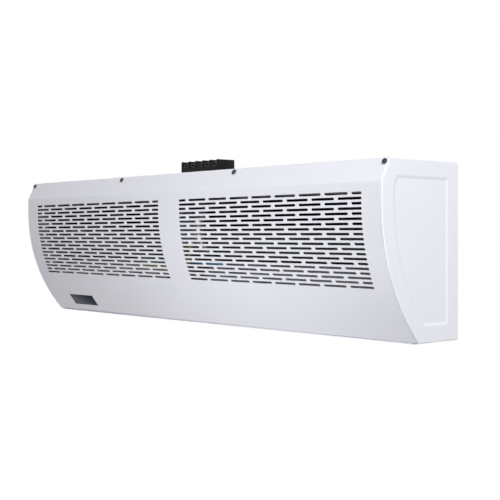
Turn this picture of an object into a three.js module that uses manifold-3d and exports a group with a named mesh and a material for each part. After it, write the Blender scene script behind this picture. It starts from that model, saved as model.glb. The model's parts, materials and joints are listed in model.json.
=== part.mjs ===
// Wall-hung electrically heated air curtain, 0.9 m long, in millimetres.
// +X runs along the length, +Y points into the wall, +Z is up. The origin is the middle of the wall
// plate's back face, which is the wall plane Y = 0; the middle of the height lies at Z = 0.
import * as THREE from "three";
import { mergeGeometries, mergeVertices } from "three/addons/utils/BufferGeometryUtils.js";
import Module from "manifold-3d";

const wasm = await Module();
wasm.setup();

const radians = THREE.MathUtils.degToRad;

// ---- Driving dimensions: housing ----
const LENGTH = 900; // over the two end plates
const HEIGHT = 240; // bottom edge to top face
const DEPTH = 153; // wall plane to the foremost line
const FACET_RUN = 15; // top front corner to the foremost line, towards the wall
const KINK_DROP = 30.6; // top face down to the line where the facet meets the front
const STRAIGHT_DROP = 25; // upright band below that line
const NOSE_ROOM = 72.27; // foremost line to the front's lower edge, towards the wall
const TAIL = 14.16; // flat band along that edge
const SHEET = 1; // casing sheet, and sheet pieces inside
const END_SHEET = 2; // end plates
const GAP = 0.3; // clearance between pieces that touch
const REAR_PLATE = 1.5; // wall plate
const PANEL_FLANGE = 4.2; // inward hem at the front panel's lower edge
const LIP_DROP = 13; // height of the lip behind the facet
const END_FLANGE = 11.5; // inward flange of an end plate
const FLANGE_SHEET = 1.2;
const RIM = 24; // width of the raised rim round an end plate's recess
const RECESS = 2.5; // depth of that recess

// ---- Driving dimensions: grille ----
const ROWS = 20;
const FIRST_ROW = 14; // from the kink to the middle of the first row
const SLOT_HEIGHT = 3.5;
const SLOT_LAND = 7.3; // sheet between two slots of a row
const PITCHES = 8; // slots in a full row of one grille
const GRILLE_INSET = 31.8; // end of the housing to the outer end of a grille
const CENTRE_BAND = 47.6; // plain band between the two grilles
const BELOW_ROWS = 44.02; // plain sheet between the last row and the display's band
const LOWER_STEPS = 4; // facets of that sheet

// ---- Driving dimensions: display ----
const DISPLAY_INSET = 110.5; // left end of the housing to the display's middle
const DISPLAY_LENGTH = 78;
const DISPLAY_HEIGHT = 23;
const DISPLAY_FACET = 26; // flat band that the display sits on
const BEZEL_MARGIN = 3;
const BEZEL_DEPTH = 6;
const BEZEL_WALL = 1.5;
const BOARD = 1.6; // thickness of a circuit board

// ---- Driving dimensions: screws ----
const SCREW_SETS = 4;
const SCREW_INSET = 6; // from the end of the housing
const SCREW_DROP = 5.5; // below the top face
const SCREW_HEAD_RADIUS = 3.9;
const SCREW_HEAD_HEIGHT = 2.3;
const SCREW_RADIUS = 2;
const SCREW_LENGTH = 9;

// ---- Driving dimensions: fan ----
const FAN_DEPTH = 78; // wall plane to the fan's axis
const FAN_DROP = 90; // top face to the fan's axis
const FAN_RADIUS = 46;
const BLADES = 14;
const BLADE_CHORD = 10;
const BLADE_THICKNESS = 1.1;
const BLADE_INSET = 0.6; // rim of the discs to the blades
const BLADE_PITCH_ANGLE = radians(28); // from the radius
const FAN_RINGS = 2; // stiffening rings between the end discs
const FAN_START_ROOM = 4; // partition to the first disc
const FAN_DISC = 2.5;
const RING_WIDTH = 12;
const HUB_RADIUS = 10;
const HUB_LENGTH = 16;
const SHAFT_RADIUS = 4;
const STUB_LENGTH = 27;
const STUB_REACH = 7.7; // side plate to the axle's end
const SIDE_PLATE_INSET = 20; // from the end of the housing
const SIDE_PLATE = 1.2;
const BUSH_RADIUS = 8;
const BUSH_LENGTH = 10;
const BUSH_LEAD = 2; // bush in front of the side plate
const CUP_WALL = 4.4;
const CUP_FLANGE = 4.3;
const CUP_FLANGE_LENGTH = 3;
const CUP_LEAD = 1; // cup past the bush at each end
const FAN_END_ROOM = 5.4; // last disc to the side plate

// ---- Driving dimensions: motor ----
const MOTOR_RADIUS = 40;
const STACK_HALF = 20;
const BORE_RADIUS = 22.6;
const AIR_GAP = 0.8; // rotor core to the bore
const CORE_INSET = 3; // end of the stack to the rotor core
const BELL_LENGTH = 16;
const BELL_WALL = 3;
const BELL_CROWN = 2.4; // fall of a bell's face from its boss to its shoulder
const SHOULDER_SHARE = 0.72; // of the motor's radius
const BOSS_RADIUS = 12;
const BOSS_LENGTH = 6.5;
const MOUNT_RING_WALL = 6;
const MOUNT_RING_LENGTH = 5;
const CRADLE_SHEET = 2;
const CRADLE_HALF_HEIGHT = 50;
const CRADLE_MARGIN = 6; // round the rubber ring
const PARTITION_X = 46;
const PARTITION_MARGIN = 12; // hub to the partition's front edge
const PARTITION_STEP = 8; // tongue tip to the end of that edge

// ---- Driving dimensions: air path ----
const SCROLL_FROM = radians(110); // counted from the wall side, upwards
const SCROLL_TO = radians(-28);
const SCROLL_STEPS = 11;
const SCROLL_GAP_START = 6; // sheet to impeller at the start
const SCROLL_GAP_END = 22; // and at the end
const TONGUE_ANGLE = radians(-108);
const TONGUE_GAP = 5.5;
const TONGUE_TIP = 5; // flat tip of the tongue
const LEDGE_BELOW_ROWS = 6.5; // last row to the tongue's front edge, along the sheet

// ---- Driving dimensions: outlet ----
const OUTLET_WIDTH = 25.2;
const FRAME_WALL = 1.5;
const FRAME_HEIGHT = 17; // above the housing's bottom
const FRAME_LIP = 1.3; // thickness of the lip below the housing
const FRAME_INSET = 14; // end of the housing to the duct's end
const FRAME_END = 3.5;
const LIP_FRONT = 1.4; // lip in front of the panel's lower edge
const LIP_REAR = 3.5;
const LIP_SIDE = 4;
const VANE_CHORD = 16;
const VANE_THICKNESS = 1.6;
const VANE_TAPER = 3; // sharpened edge of a vane
const VANE_RISE = 9; // vane axis above the housing's bottom
const VANE_PIN_RADIUS = 1.5;
const VANE_PIN_LENGTH = 3;
const VANE_END_GAP = 1.5;
const CRANK = 5.5; // vane axis to link pin
const CRANK_PIN_RADIUS = 1;
const CRANK_BOSS_WALL = 0.8;
const CRANK_PIN_PROUD = 0.7; // crank pin past the link
const LINK_OFFSET = 1.5; // vane end to the link
const LINK_THICKNESS = 2;
const LINK_RADIUS = 2.4;
const LINK_ROOM = 5.5; // vane end to frame end, on the link's side

// ---- Driving dimensions: heater ----
const HEATER_INSET = 26; // partition or side plate to the heater's fins
const HEATER_TOP = 58; // above the housing's bottom
const HEATER_HEIGHT = 14;
const HEATER_FINS = 12;
const FIN = 0.9;
const TUBE = 5;
const CAP_LENGTH = 16;
const CAP_WALL = 2;
const CAP_OVERLAP = 6;

// ---- Driving dimensions: terminal block ----
const BLOCK_X = -1.6;
const BLOCK_LENGTH = 94.5;
const BLOCK_FRONT = 90; // wall plane to its front
const BLOCK_DEPTH = 35.7;
const BLOCK_HEIGHT = 22;
const BLOCK_FLOOR = 12; // floor of a bay above its underside
const POLES = 5;
const BARRIER = 2.5;
const CLAMP_HEIGHT = 5;
const CLAMP_MARGIN = 2; // round a clamp in its bay
const CLAMP_SCREW_INSET = 9; // front or rear of the block to a clamp's screw
const CLAMP_HEAD_HEIGHT = 2.6;
const CLAMP_HEAD_RADIUS = 3.4;
const SPIGOT_LENGTH = 78;
const SPIGOT_DEPTH = 16;
const SPIGOT_DROP = 6;

// ---- Driving dimensions: control parts ----
const CONTROL_ROOM = 24; // partition to the board
const CONTROL_LENGTH = 160;
const CONTROL_START_SHARE = 0.326; // of the duct's front wall, above the board
const CONTROL_SHARE = 0.489; // of that wall, beside the board
const STANDOFF = 6;
const RELAY_HEIGHT = 11;
const RELAYS = 4;
const RELAY_DEPTH = 18;
const RELAY_MARGIN = 4;
const RELAY_SHARE = 0.7; // of a relay's room along the board
const STANDOFF_WIDTH = 6;
const CONNECTOR_START = 20; // end of the board to its connector
const CONNECTOR_DEPTH = 8;
const CONNECTOR_HEIGHT = 7;
const CAPACITOR_ROOM = 14; // partition to the capacitor
const CAPACITOR_LENGTH = 50;
const CAPACITOR_SHARE = 0.349; // of the duct's front wall
const CAPACITOR_THICKNESS = 17;
const CAPACITOR_FOOT = 14;
const TRANSFORMER_X = -195;
const TRANSFORMER_LENGTH = 50;
const TRANSFORMER_ROOM = 10.93; // outlet frame to its coil
const TRANSFORMER_BACK_ROOM = 4; // coil to the casing's back
const TRANSFORMER_STEP_SHARE = 0.2; // of its depth, coil face to core face
const TRANSFORMER_COIL_DROP = 4; // top of the core to the coil
const TRANSFORMER_FOOT = 9; // past the core at each end
const TRANSFORMER_HEIGHT = 26;
const CUTOUT_X = 120;
const CUTOUT_SHARE = 0.4735; // of the duct's rear wall, above the cut-out
const CUTOUT_RADIUS = 9;
const CUTOUT_DEPTH = 8;
const CUTOUT_WING = 14.4; // middle to the end of its fixing plate
const CUTOUT_WING_HALF = 6;
const BUTTON_RADIUS = 2.4;
const BUTTON_LENGTH = 7;
const BUTTON_TRAVEL = 1.2;
const LEAD_RADIUS = 1.4;
const YELLOW_START_X = 12;
const YELLOW_TAKEOFF = radians(210); // side of the motor that it leaves from
const YELLOW_HOLE_X = -154;
const YELLOW_LEVEL = 17; // below the tongue's tip, along the ledge
const BLUE_START_X = 75;
const BLUE_HOLE_X = -92;
const BLUE_LEVEL = 7;
const LEAD_HOLE = 4.6; // radius of the hole that a lead drops through
const LEAD_BEND = 5; // step between the points of a bend
const LEAD_SIDES = 8;
const LEAD_STEPS = 24;

// ---- Driving dimensions: wall plate ----
const WALL_PLATE_INSET = 150; // from the end of the housing
const WALL_PLATE_HEIGHT = 120;
const WALL_HOLE_RADIUS = 3;
const HOOK_INSET = 40; // end of the wall plate to the outer hooks
const INNER_HOOK_SHARE = 0.4; // of the wall plate's half length
const HOOK_LENGTH = 30;
const HOOK_Z = 20;
const HOOK_RISE = 16;
const HOOK_REACH = 7;
const HOOK_ROOM = 2; // round a hook in its slot
const WALL_HOLE_SHARES = [0.9, 0.75]; // of the wall plate's half length and half height

// ---- Derived places ----
const TOP = HEIGHT / 2;
const BOTTOM = -HEIGHT / 2;
const HALF = LENGTH / 2;
const REAR = -(REAR_PLATE + GAP); // outer face of the casing's back
const PANEL_HALF = HALF - END_SHEET - GAP;
const UNDER = SHEET + GAP; // depth of a piece that lies right behind a sheet
const KINK_Z = TOP - KINK_DROP;
const NOSE_Z = KINK_Z - STRAIGHT_DROP;
// The front's bend starts upright at NOSE_Z and runs out into the flat band along the lower edge.
const NOSE_DROP = NOSE_Z - BOTTOM;
const NOSE_RADIUS = (NOSE_ROOM ** 2 + NOSE_DROP ** 2 - TAIL ** 2) / (2 * NOSE_ROOM);
const NOSE_SWEEP = Math.atan2(TAIL, -NOSE_RADIUS) - Math.atan2(NOSE_DROP, NOSE_ROOM - NOSE_RADIUS);
const NOSE_Y = NOSE_RADIUS - DEPTH;
const ARC_END = STRAIGHT_DROP + NOSE_RADIUS * NOSE_SWEEP;
const DISPLAY_TOP = ARC_END - DISPLAY_FACET;
const ROW_PITCH = (DISPLAY_TOP - BELOW_ROWS - FIRST_ROW) / (ROWS - 0.5); // along the sheet
const SLOT_PITCH = (HALF - GRILLE_INSET - CENTRE_BAND / 2) / PITCHES;
const DISPLAY_X = DISPLAY_INSET - HALF;
const SIDE_PLATE_X = HALF - SIDE_PLATE_INSET;
const FRAME_HALF = HALF - FRAME_INSET;
const FAN_START = PARTITION_X + FAN_START_ROOM;
const HEATER_START = PARTITION_X + HEATER_INSET;
const HEATER_END = SIDE_PLATE_X - HEATER_INSET;
const CONTROL_TO = -(PARTITION_X + CONTROL_ROOM);
const CONTROL_FROM = CONTROL_TO - CONTROL_LENGTH;
const CAPACITOR_FROM = PARTITION_X + CAPACITOR_ROOM;
const WALL_PLATE_HALF = HALF - WALL_PLATE_INSET;
const OUTER_HOOK = WALL_PLATE_HALF - HOOK_INSET;
const INNER_HOOK = WALL_PLATE_HALF * INNER_HOOK_SHARE;
const HOOKS = [-OUTER_HOOK, -INNER_HOOK, INNER_HOOK, OUTER_HOOK];
const AXIS = [-FAN_DEPTH, TOP - FAN_DROP];
const DUCT_LOW = BOTTOM + FRAME_HEIGHT + GAP; // lower edge of the duct walls
const FAN_END = SIDE_PLATE_X - FAN_END_ROOM;
const ROUND = 16; // sides of a round piece
const SMALL_ROUND = 12; // sides of a small pin or hole
const HOLE_SIDES = 10; // sides of a fastener's hole
const THROUGH = 5; // how far a cutter reaches past what it cuts

// ---- Finishes ----
const FINISHES = {
  white_coat: { color: 0xe9eaf3, roughness: 0.45, metalness: 0 },
  galvanised: { color: 0xb9bcc0, roughness: 0.4, metalness: 0.9 },
  black_plastic: { color: 0x1b1b1d, roughness: 0.5, metalness: 0 },
  dark_impeller: { color: 0x202226, roughness: 0.55, metalness: 0 },
  brass: { color: 0xc9a250, roughness: 0.3, metalness: 1 },
  steel: { color: 0xc4c6c9, roughness: 0.3, metalness: 1 },
  dark_screw: { color: 0x55575c, roughness: 0.4, metalness: 0.9 },
  aluminium: { color: 0xcdd0d3, roughness: 0.35, metalness: 1 },
  motor_steel: { color: 0x9da0a4, roughness: 0.5, metalness: 0.8 },
  rubber: { color: 0x222222, roughness: 0.85, metalness: 0 },
  display: { color: 0x1d2b45, roughness: 0.12, metalness: 0 },
  board_green: { color: 0x1f5b3a, roughness: 0.5, metalness: 0 },
  beige_plastic: { color: 0xd9cfb6, roughness: 0.5, metalness: 0 },
  red_plastic: { color: 0xb52a22, roughness: 0.4, metalness: 0 },
  yellow_lead: { color: 0xe4c820, roughness: 0.5, metalness: 0 },
  blue_lead: { color: 0x2f8fc4, roughness: 0.5, metalness: 0 },
};

const airCurtain = new THREE.Group();

// ---- Solids: geometry in, geometry out ----
function solid(geometry) {
  const plain = geometry.index ? geometry.toNonIndexed() : geometry.clone();
  plain.deleteAttribute("normal");
  plain.deleteAttribute("uv");
  const merged = mergeVertices(plain, 1e-4);
  const vertProperties = new Float32Array(merged.attributes.position.array);
  const triVerts = new Uint32Array(merged.index.array);
  return new wasm.Manifold(new wasm.Mesh({ numProp: 3, vertProperties, triVerts }));
}

function geometryOf(shape) {
  const mesh = shape.getMesh();
  const geometry = new THREE.BufferGeometry();
  geometry.setAttribute("position", new THREE.BufferAttribute(mesh.vertProperties, 3));
  geometry.setIndex(new THREE.BufferAttribute(mesh.triVerts, 1));
  geometry.computeVertexNormals();
  return geometry;
}

function join(first, ...others) {
  return others.reduce((sum, other) => sum.add(solid(other)), solid(first));
}

function cut(shape, ...cutters) {
  return cutters.reduce((rest, cutter) => rest.subtract(solid(cutter)), shape);
}

// Bodies that don't meet, as one geometry for one join or cut.
function together(geometries) {
  return mergeGeometries(geometries.map(bare));
}

function bare(geometry) {
  const plain = geometry.index ? geometry.toNonIndexed() : geometry.clone();
  plain.deleteAttribute("normal");
  plain.deleteAttribute("uv");
  return plain;
}

function piece(name, finish, shape) {
  const geometry = shape.isBufferGeometry ? shape : geometryOf(shape);
  const mesh = new THREE.Mesh(geometry, new THREE.MeshStandardMaterial(FINISHES[finish]));
  mesh.name = name;
  airCurtain.add(mesh);
}

// ---- Shapes ----
// A bar along X whose section is a loop of [y, z] points, with optional holes.
function barX(loop, from, to, holes = []) {
  const shape = new THREE.Shape(loop.map(([y, z]) => new THREE.Vector2(y, z)));
  shape.holes = holes.map((hole) => new THREE.Path(hole.map(([y, z]) => new THREE.Vector2(y, z))));
  const low = Math.min(from, to);
  const depth = Math.abs(to - from);
  const geometry = new THREE.ExtrudeGeometry(shape, { depth, bevelEnabled: false });
  const place = new THREE.Matrix4().set(0, 0, 1, low, 1, 0, 0, 0, 0, 1, 0, 0, 0, 0, 0, 1);
  return geometry.applyMatrix4(place);
}

function box(x0, x1, y0, y1, z0, z1) {
  const geometry = new THREE.BoxGeometry(Math.abs(x1 - x0), Math.abs(y1 - y0), Math.abs(z1 - z0));
  return geometry.translate((x0 + x1) / 2, (y0 + y1) / 2, (z0 + z1) / 2);
}

function rod(start, end, radius, sides = ROUND) {
  const from = new THREE.Vector3(...start);
  const along = new THREE.Vector3(...end).sub(from);
  const geometry = new THREE.CylinderGeometry(radius, radius, along.length(), sides);
  geometry.translate(0, along.length() / 2, 0);
  const turn = new THREE.Quaternion();
  turn.setFromUnitVectors(new THREE.Vector3(0, 1, 0), along.clone().normalize());
  return geometry.applyQuaternion(turn).translate(from.x, from.y, from.z);
}

// A piece turned about the fan's axis: a closed loop of [radius, x] points.
function turnedOnAxis(loop, sides = ROUND) {
  const points = [...loop, loop[0]].map(([radius, x]) => new THREE.Vector2(radius, x));
  const geometry = new THREE.LatheGeometry(points, sides);
  const place = new THREE.Matrix4().set(0, 1, 0, 0, 0, 0, 1, AXIS[0], 1, 0, 0, AXIS[1], 0, 0, 0, 1);
  return geometry.applyMatrix4(place);
}

function ringOnAxis(inner, outer, from, to, sides = ROUND) {
  const low = Math.min(from, to);
  const high = Math.max(from, to);
  return turnedOnAxis([[inner, low], [outer, low], [outer, high], [inner, high]], sides);
}

// A loop of [radius, x] points for the side where side is -1, run so that its faces still point out.
function mirroredLoop(loop, side) {
  if (side > 0) {
    return loop;
  }
  return loop.map(([radius, x]) => [radius, -x]).reverse();
}

// ---- Lines and loops of [y, z] points ----
function distanceOf(a, b) {
  return Math.hypot(b[0] - a[0], b[1] - a[1]);
}

function leftNormal(a, b) {
  const length = distanceOf(a, b);
  return [-(b[1] - a[1]) / length, (b[0] - a[0]) / length];
}

// Where two edges that meet at a point meet again once each has moved to its left.
function movedCorner(point, n1, d1, n2, d2) {
  const spread = n1[0] * n2[1] - n1[1] * n2[0];
  if (Math.abs(spread) < 1e-6) {
    return [point[0] + n1[0] * d1, point[1] + n1[1] * d1];
  }
  const y = (d1 * n2[1] - d2 * n1[1]) / spread;
  const z = (d2 * n1[0] - d1 * n2[0]) / spread;
  return [point[0] + y, point[1] + z];
}

function offsetLine(line, distance) {
  const normals = line.slice(1).map((point, i) => leftNormal(line[i], point));
  return line.map((point, i) => {
    const before = normals[Math.max(i - 1, 0)];
    const after = normals[Math.min(i, normals.length - 1)];
    return movedCorner(point, before, distance, after, distance);
  });
}

function offsetLoop(loop, distances) {
  const count = loop.length;
  const normals = loop.map((point, i) => leftNormal(point, loop[(i + 1) % count]));
  return loop.map((point, i) => {
    const before = (i + count - 1) % count;
    return movedCorner(point, normals[before], distances[before], normals[i], distances[i]);
  });
}

function sheetLoop(line, thickness) {
  return [...line, ...offsetLine(line, thickness).reverse()];
}

// A straight wall's own frame: distance along it from a, and height above its left or right side.
function wallFrame(a, b, side) {
  const n = leftNormal(a, b).map((value) => value * side);
  const length = distanceOf(a, b);
  const t = [(b[0] - a[0]) / length, (b[1] - a[1]) / length];
  return (along, up) => [a[0] + t[0] * along + n[0] * up, a[1] + t[1] * along + n[1] * up];
}

function plateOn(frame, x0, x1, along0, along1, up0, up1) {
  const loop = [frame(along0, up0), frame(along1, up0), frame(along1, up1), frame(along0, up1)];
  return barX(loop, x0, x1);
}

// ---- The housing's section ----
function frontPoint(distance) {
  if (distance <= STRAIGHT_DROP) {
    return [-DEPTH, KINK_Z - distance];
  }
  const turn = Math.min((distance - STRAIGHT_DROP) / NOSE_RADIUS, NOSE_SWEEP);
  const rest = Math.max(distance - ARC_END, 0);
  const y = NOSE_Y - NOSE_RADIUS * Math.cos(turn) + rest * Math.sin(turn);
  const z = NOSE_Z - NOSE_RADIUS * Math.sin(turn) - rest * Math.cos(turn);
  return [y, z];
}

const rowEdge = (row) => FIRST_ROW + (row - 0.5) * ROW_PITCH;

// Distances down the front at which the faceted sheet has an edge.
function frontStations() {
  const stations = [0];
  for (let row = 0; row <= ROWS; row += 1) {
    stations.push(rowEdge(row));
  }
  const last = rowEdge(ROWS);
  for (let step = 1; step < LOWER_STEPS; step += 1) {
    stations.push(last + ((DISPLAY_TOP - last) * step) / LOWER_STEPS);
  }
  stations.push(DISPLAY_TOP, ARC_END, ARC_END + TAIL);
  return stations;
}

const FRONT_LINE = [[FACET_RUN - DEPTH, TOP], ...frontStations().map(frontPoint)];
// The plates that close the housing's ends follow the same line in fewer steps.
const PLATE_LINE = FRONT_LINE.filter((point, i) => i < 2 || i > ROWS + 2 || i % 4 === 2);
const BOTTOM_EDGE = FRONT_LINE[FRONT_LINE.length - 1][0];
const FRAME_FRONT = BOTTOM_EDGE + PANEL_FLANGE + GAP; // outlet frame's outer front face
const FRAME_REAR = FRAME_FRONT + OUTLET_WIDTH + 2 * FRAME_WALL;

// The housing's outline with its back at rear, each side moved inwards by its own inset.
function outline(rear, facet, front, bottom, back, top) {
  const loop = [...PLATE_LINE, [rear, BOTTOM], [rear, TOP]];
  const insets = [facet, ...Array(PLATE_LINE.length - 2).fill(front), bottom, back, top];
  return offsetLoop(loop, insets);
}

// ---- The facet that carries the panel screws ----
const facetFrame = wallFrame(FRONT_LINE[0], FRONT_LINE[1], -1);
const facetLength = distanceOf(FRONT_LINE[0], FRONT_LINE[1]);
const screwDown = (SCREW_DROP * facetLength) / KINK_DROP;

function screwPlaces() {
  const reach = HALF - SCREW_INSET;
  const places = [];
  for (let i = 0; i < SCREW_SETS; i += 1) {
    places.push(-reach + (2 * reach * i) / (SCREW_SETS - 1));
  }
  return places;
}

function facetRod(x, from, to, radius, sides) {
  return rod([x, ...facetFrame(screwDown, from)], [x, ...facetFrame(screwDown, to)], radius, sides);
}

function screwHole(x) {
  return facetRod(x, -SCREW_LENGTH, SHEET, SCREW_RADIUS + GAP, HOLE_SIDES);
}

// ---- Front panel ----
// The slots of one row, from the middle of the housing outwards.
function rowSpans(row) {
  const start = CENTRE_BAND / 2;
  const end = start + PITCHES * SLOT_PITCH;
  const shift = row % 2 === 0 ? SLOT_PITCH / 2 : SLOT_PITCH;
  const bounds = [start];
  for (let x = start + shift; x < end - SLOT_LAND; x += SLOT_PITCH) {
    bounds.push(x);
  }
  bounds.push(end);
  return bounds.slice(1).map((x, i) => [bounds[i] + SLOT_LAND / 2, x - SLOT_LAND / 2]);
}

function slotCutters() {
  const cutters = [];
  for (let row = 0; row < ROWS; row += 1) {
    const frame = wallFrame(frontPoint(rowEdge(row)), frontPoint(rowEdge(row + 1)), 1);
    const from = (ROW_PITCH - SLOT_HEIGHT) / 2;
    for (const [x0, x1] of rowSpans(row)) {
      cutters.push(plateOn(frame, x0, x1, from, from + SLOT_HEIGHT, -SHEET, 2 * SHEET));
      cutters.push(plateOn(frame, -x1, -x0, from, from + SLOT_HEIGHT, -SHEET, 2 * SHEET));
    }
  }
  return cutters;
}

const displayFrame = wallFrame(frontPoint(DISPLAY_TOP), frontPoint(ARC_END), 1);

function displayPlate(margin, up0, up1) {
  const middle = DISPLAY_FACET / 2;
  const halfHeight = DISPLAY_HEIGHT / 2 + margin;
  const halfLength = DISPLAY_LENGTH / 2 + margin;
  const [x0, x1] = [DISPLAY_X - halfLength, DISPLAY_X + halfLength];
  return plateOn(displayFrame, x0, x1, middle - halfHeight, middle + halfHeight, up0, up1);
}

function frontPanel() {
  const line = [...FRONT_LINE, [BOTTOM_EDGE + PANEL_FLANGE, BOTTOM]];
  const sheet = solid(barX(sheetLoop(line, SHEET), -PANEL_HALF, PANEL_HALF));
  const screws = screwPlaces().map(screwHole);
  return cut(sheet, together(slotCutters()), displayPlate(GAP, -SHEET, 2 * SHEET), ...screws);
}

function panelScrew(x) {
  const head = facetRod(x, GAP, GAP + SCREW_HEAD_HEIGHT, SCREW_HEAD_RADIUS, SMALL_ROUND);
  const shank = facetRod(x, -SCREW_LENGTH, SCREW_HEAD_HEIGHT / 2, SCREW_RADIUS, 8);
  return join(head, shank);
}

// ---- Rear casing: lip behind the facet, top, back and bottom in one bent sheet ----
const LIP_HALF = FRAME_HALF - 1; // the lip stops short of the end plates' flanges

function rearCasing() {
  const inner = outline(REAR, UNDER, 0, 0, 0, 0);
  const corner = inner[0];
  const downFacet = wallFrame(corner, inner[1], 1);
  const end = [FRAME_REAR + GAP, BOTTOM];
  const line = [downFacet(LIP_DROP, 0), corner, [REAR, TOP], [REAR, BOTTOM], end];
  const sheet = solid(barX(sheetLoop(line, -SHEET), -PANEL_HALF, PANEL_HALF));
  const cutters = screwPlaces().map(screwHole);
  const lipRear = corner[0] + SHEET + GAP;
  for (const side of [-1, 1]) {
    const low = TOP - 2 * LIP_DROP;
    cutters.push(box(side * LIP_HALF, side * HALF, -DEPTH, lipRear, low, TOP - SHEET));
  }
  const [x0, x1] = [BLOCK_X - SPIGOT_LENGTH / 2 - GAP, BLOCK_X + SPIGOT_LENGTH / 2 + GAP];
  const blockY = -BLOCK_FRONT + BLOCK_DEPTH / 2;
  const halfY = SPIGOT_DEPTH / 2 + GAP;
  cutters.push(box(x0, x1, blockY - halfY, blockY + halfY, TOP - 2 * SHEET, TOP + SHEET));
  const hookHalf = HOOK_LENGTH / 2 + HOOK_ROOM;
  const slotTop = HOOK_Z + REAR_PLATE + GAP;
  const slotLow = slotTop - HOOK_RISE - HOOK_ROOM;
  for (const hook of HOOKS) {
    const [from, to] = [hook - hookHalf, hook + hookHalf];
    cutters.push(box(from, to, REAR - 2 * SHEET, REAR + SHEET, slotLow, slotTop));
  }
  return cut(sheet, ...cutters);
}

// ---- End plates ----
function endPlate(side) {
  const at = (depth) => side * (HALF - depth);
  const all = (inset) => Array(5).fill(inset);
  const flangeEnd = at(END_SHEET + END_FLANGE);
  const plate = barX(outline(0, 0, 0, 0, 0, 0), at(0), at(END_SHEET));
  const tray = barX(outline(0, ...all(RIM - END_SHEET)), at(END_SHEET), at(END_SHEET + RECESS));
  const ring = cut(
    solid(barX(outline(REAR, ...all(UNDER)), at(END_SHEET), flangeEnd)),
    barX(outline(REAR, ...all(UNDER + FLANGE_SHEET)), at(END_SHEET), at(END_SHEET + 2 * END_FLANGE)),
  );
  const pocket = barX(outline(0, ...all(RIM)), at(-1), at(RECESS));
  const whole = join(plate, tray).add(ring);
  return cut(whole, pocket, screwHole(side * (HALF - SCREW_INSET)));
}

// ---- Wall plate with four hooks ----
function wallPlate() {
  const high = WALL_PLATE_HEIGHT / 2;
  const parts = [];
  for (const hook of HOOKS) {
    const [x0, x1] = [hook - HOOK_LENGTH / 2, hook + HOOK_LENGTH / 2];
    const reach = -REAR_PLATE - HOOK_REACH;
    parts.push(box(x0, x1, reach, -REAR_PLATE / 2, HOOK_Z, HOOK_Z + REAR_PLATE));
    parts.push(box(x0, x1, reach, reach + REAR_PLATE, HOOK_Z, HOOK_Z + HOOK_RISE));
  }
  const plate = join(box(-WALL_PLATE_HALF, WALL_PLATE_HALF, -REAR_PLATE, 0, -high, high), ...parts);
  const holes = [];
  const [shareX, shareZ] = WALL_HOLE_SHARES;
  for (const x of [-shareX * WALL_PLATE_HALF, 0, shareX * WALL_PLATE_HALF]) {
    for (const z of [-shareZ * high, shareZ * high]) {
      holes.push(rod([x, -2 * REAR_PLATE, z], [x, REAR_PLATE, z], WALL_HOLE_RADIUS, HOLE_SIDES));
    }
  }
  return cut(plate, ...holes);
}

// ---- Air path ----
function scrollLine() {
  const line = [];
  for (let step = 0; step <= SCROLL_STEPS; step += 1) {
    const share = step / SCROLL_STEPS;
    const angle = SCROLL_FROM + (SCROLL_TO - SCROLL_FROM) * share;
    const radius = FAN_RADIUS + SCROLL_GAP_START + (SCROLL_GAP_END - SCROLL_GAP_START) * share;
    line.push([AXIS[0] + radius * Math.cos(angle), AXIS[1] + radius * Math.sin(angle)]);
  }
  line.push([FRAME_REAR - FRAME_WALL, DUCT_LOW]);
  return line;
}

function tongueLine() {
  const radius = FAN_RADIUS + TONGUE_GAP;
  const tip = [AXIS[0] + radius * Math.cos(TONGUE_ANGLE), AXIS[1] + radius * Math.sin(TONGUE_ANGLE)];
  const onSheet = FIRST_ROW + (ROWS - 1) * ROW_PITCH + LEDGE_BELOW_ROWS;
  const edge = wallFrame(frontPoint(onSheet - 1), frontPoint(onSheet + 1), 1)(1, UNDER + GAP);
  return [edge, [tip[0] - TONGUE_TIP, tip[1]], tip, [FRAME_FRONT + FRAME_WALL, DUCT_LOW]];
}

const SCROLL = scrollLine();
const TONGUE = tongueLine();
const DUCT_REAR = wallFrame(SCROLL[SCROLL.length - 2], SCROLL[SCROLL.length - 1], 1);
const DUCT_FRONT = wallFrame(TONGUE[2], TONGUE[3], -1);
const FRONT_WALL = distanceOf(TONGUE[2], TONGUE[3]);
const REAR_WALL = distanceOf(SCROLL[SCROLL.length - 2], SCROLL[SCROLL.length - 1]);
const CONTROL_DOWN = CONTROL_START_SHARE * FRONT_WALL; // tongue tip to the board, along the wall
const CONTROL_HEIGHT = CONTROL_SHARE * FRONT_WALL;
const CAPACITOR_HEIGHT = CAPACITOR_SHARE * FRONT_WALL;
const CUTOUT_DOWN = CUTOUT_SHARE * REAR_WALL;
const LEDGE = wallFrame(TONGUE[1], TONGUE[0], -1);
const DUCT_FROM = PARTITION_X + SHEET / 2 + GAP;
const DUCT_TO = SIDE_PLATE_X - SIDE_PLATE / 2 - GAP;

function leadHole(x, level) {
  const reach = 3 * SHEET;
  return rod([x, ...LEDGE(level, -reach)], [x, ...LEDGE(level, reach)], LEAD_HOLE, SMALL_ROUND);
}

function tongue(side, holes) {
  const sheet = solid(barX(sheetLoop(TONGUE, -SHEET), side * DUCT_FROM, side * DUCT_TO));
  return cut(sheet, ...holes);
}

function scroll(side) {
  return barX(sheetLoop(SCROLL, SHEET), side * DUCT_FROM, side * DUCT_TO);
}

function sidePlate(side) {
  const loop = outline(REAR, 2 * UNDER, UNDER, UNDER, UNDER, UNDER);
  const [inner, outer] = [SIDE_PLATE_X - SIDE_PLATE / 2, SIDE_PLATE_X + SIDE_PLATE / 2];
  const plate = solid(barX(loop, side * inner, side * outer));
  const radius = BUSH_RADIUS + GAP + CUP_WALL + GAP;
  const [near, far] = [side * (SIDE_PLATE_X - THROUGH), side * (SIDE_PLATE_X + THROUGH)];
  const foot = box(near, far, -DEPTH, 0, BOTTOM, DUCT_LOW);
  return cut(plate, rod([near, ...AXIS], [far, ...AXIS], radius), foot);
}

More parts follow.
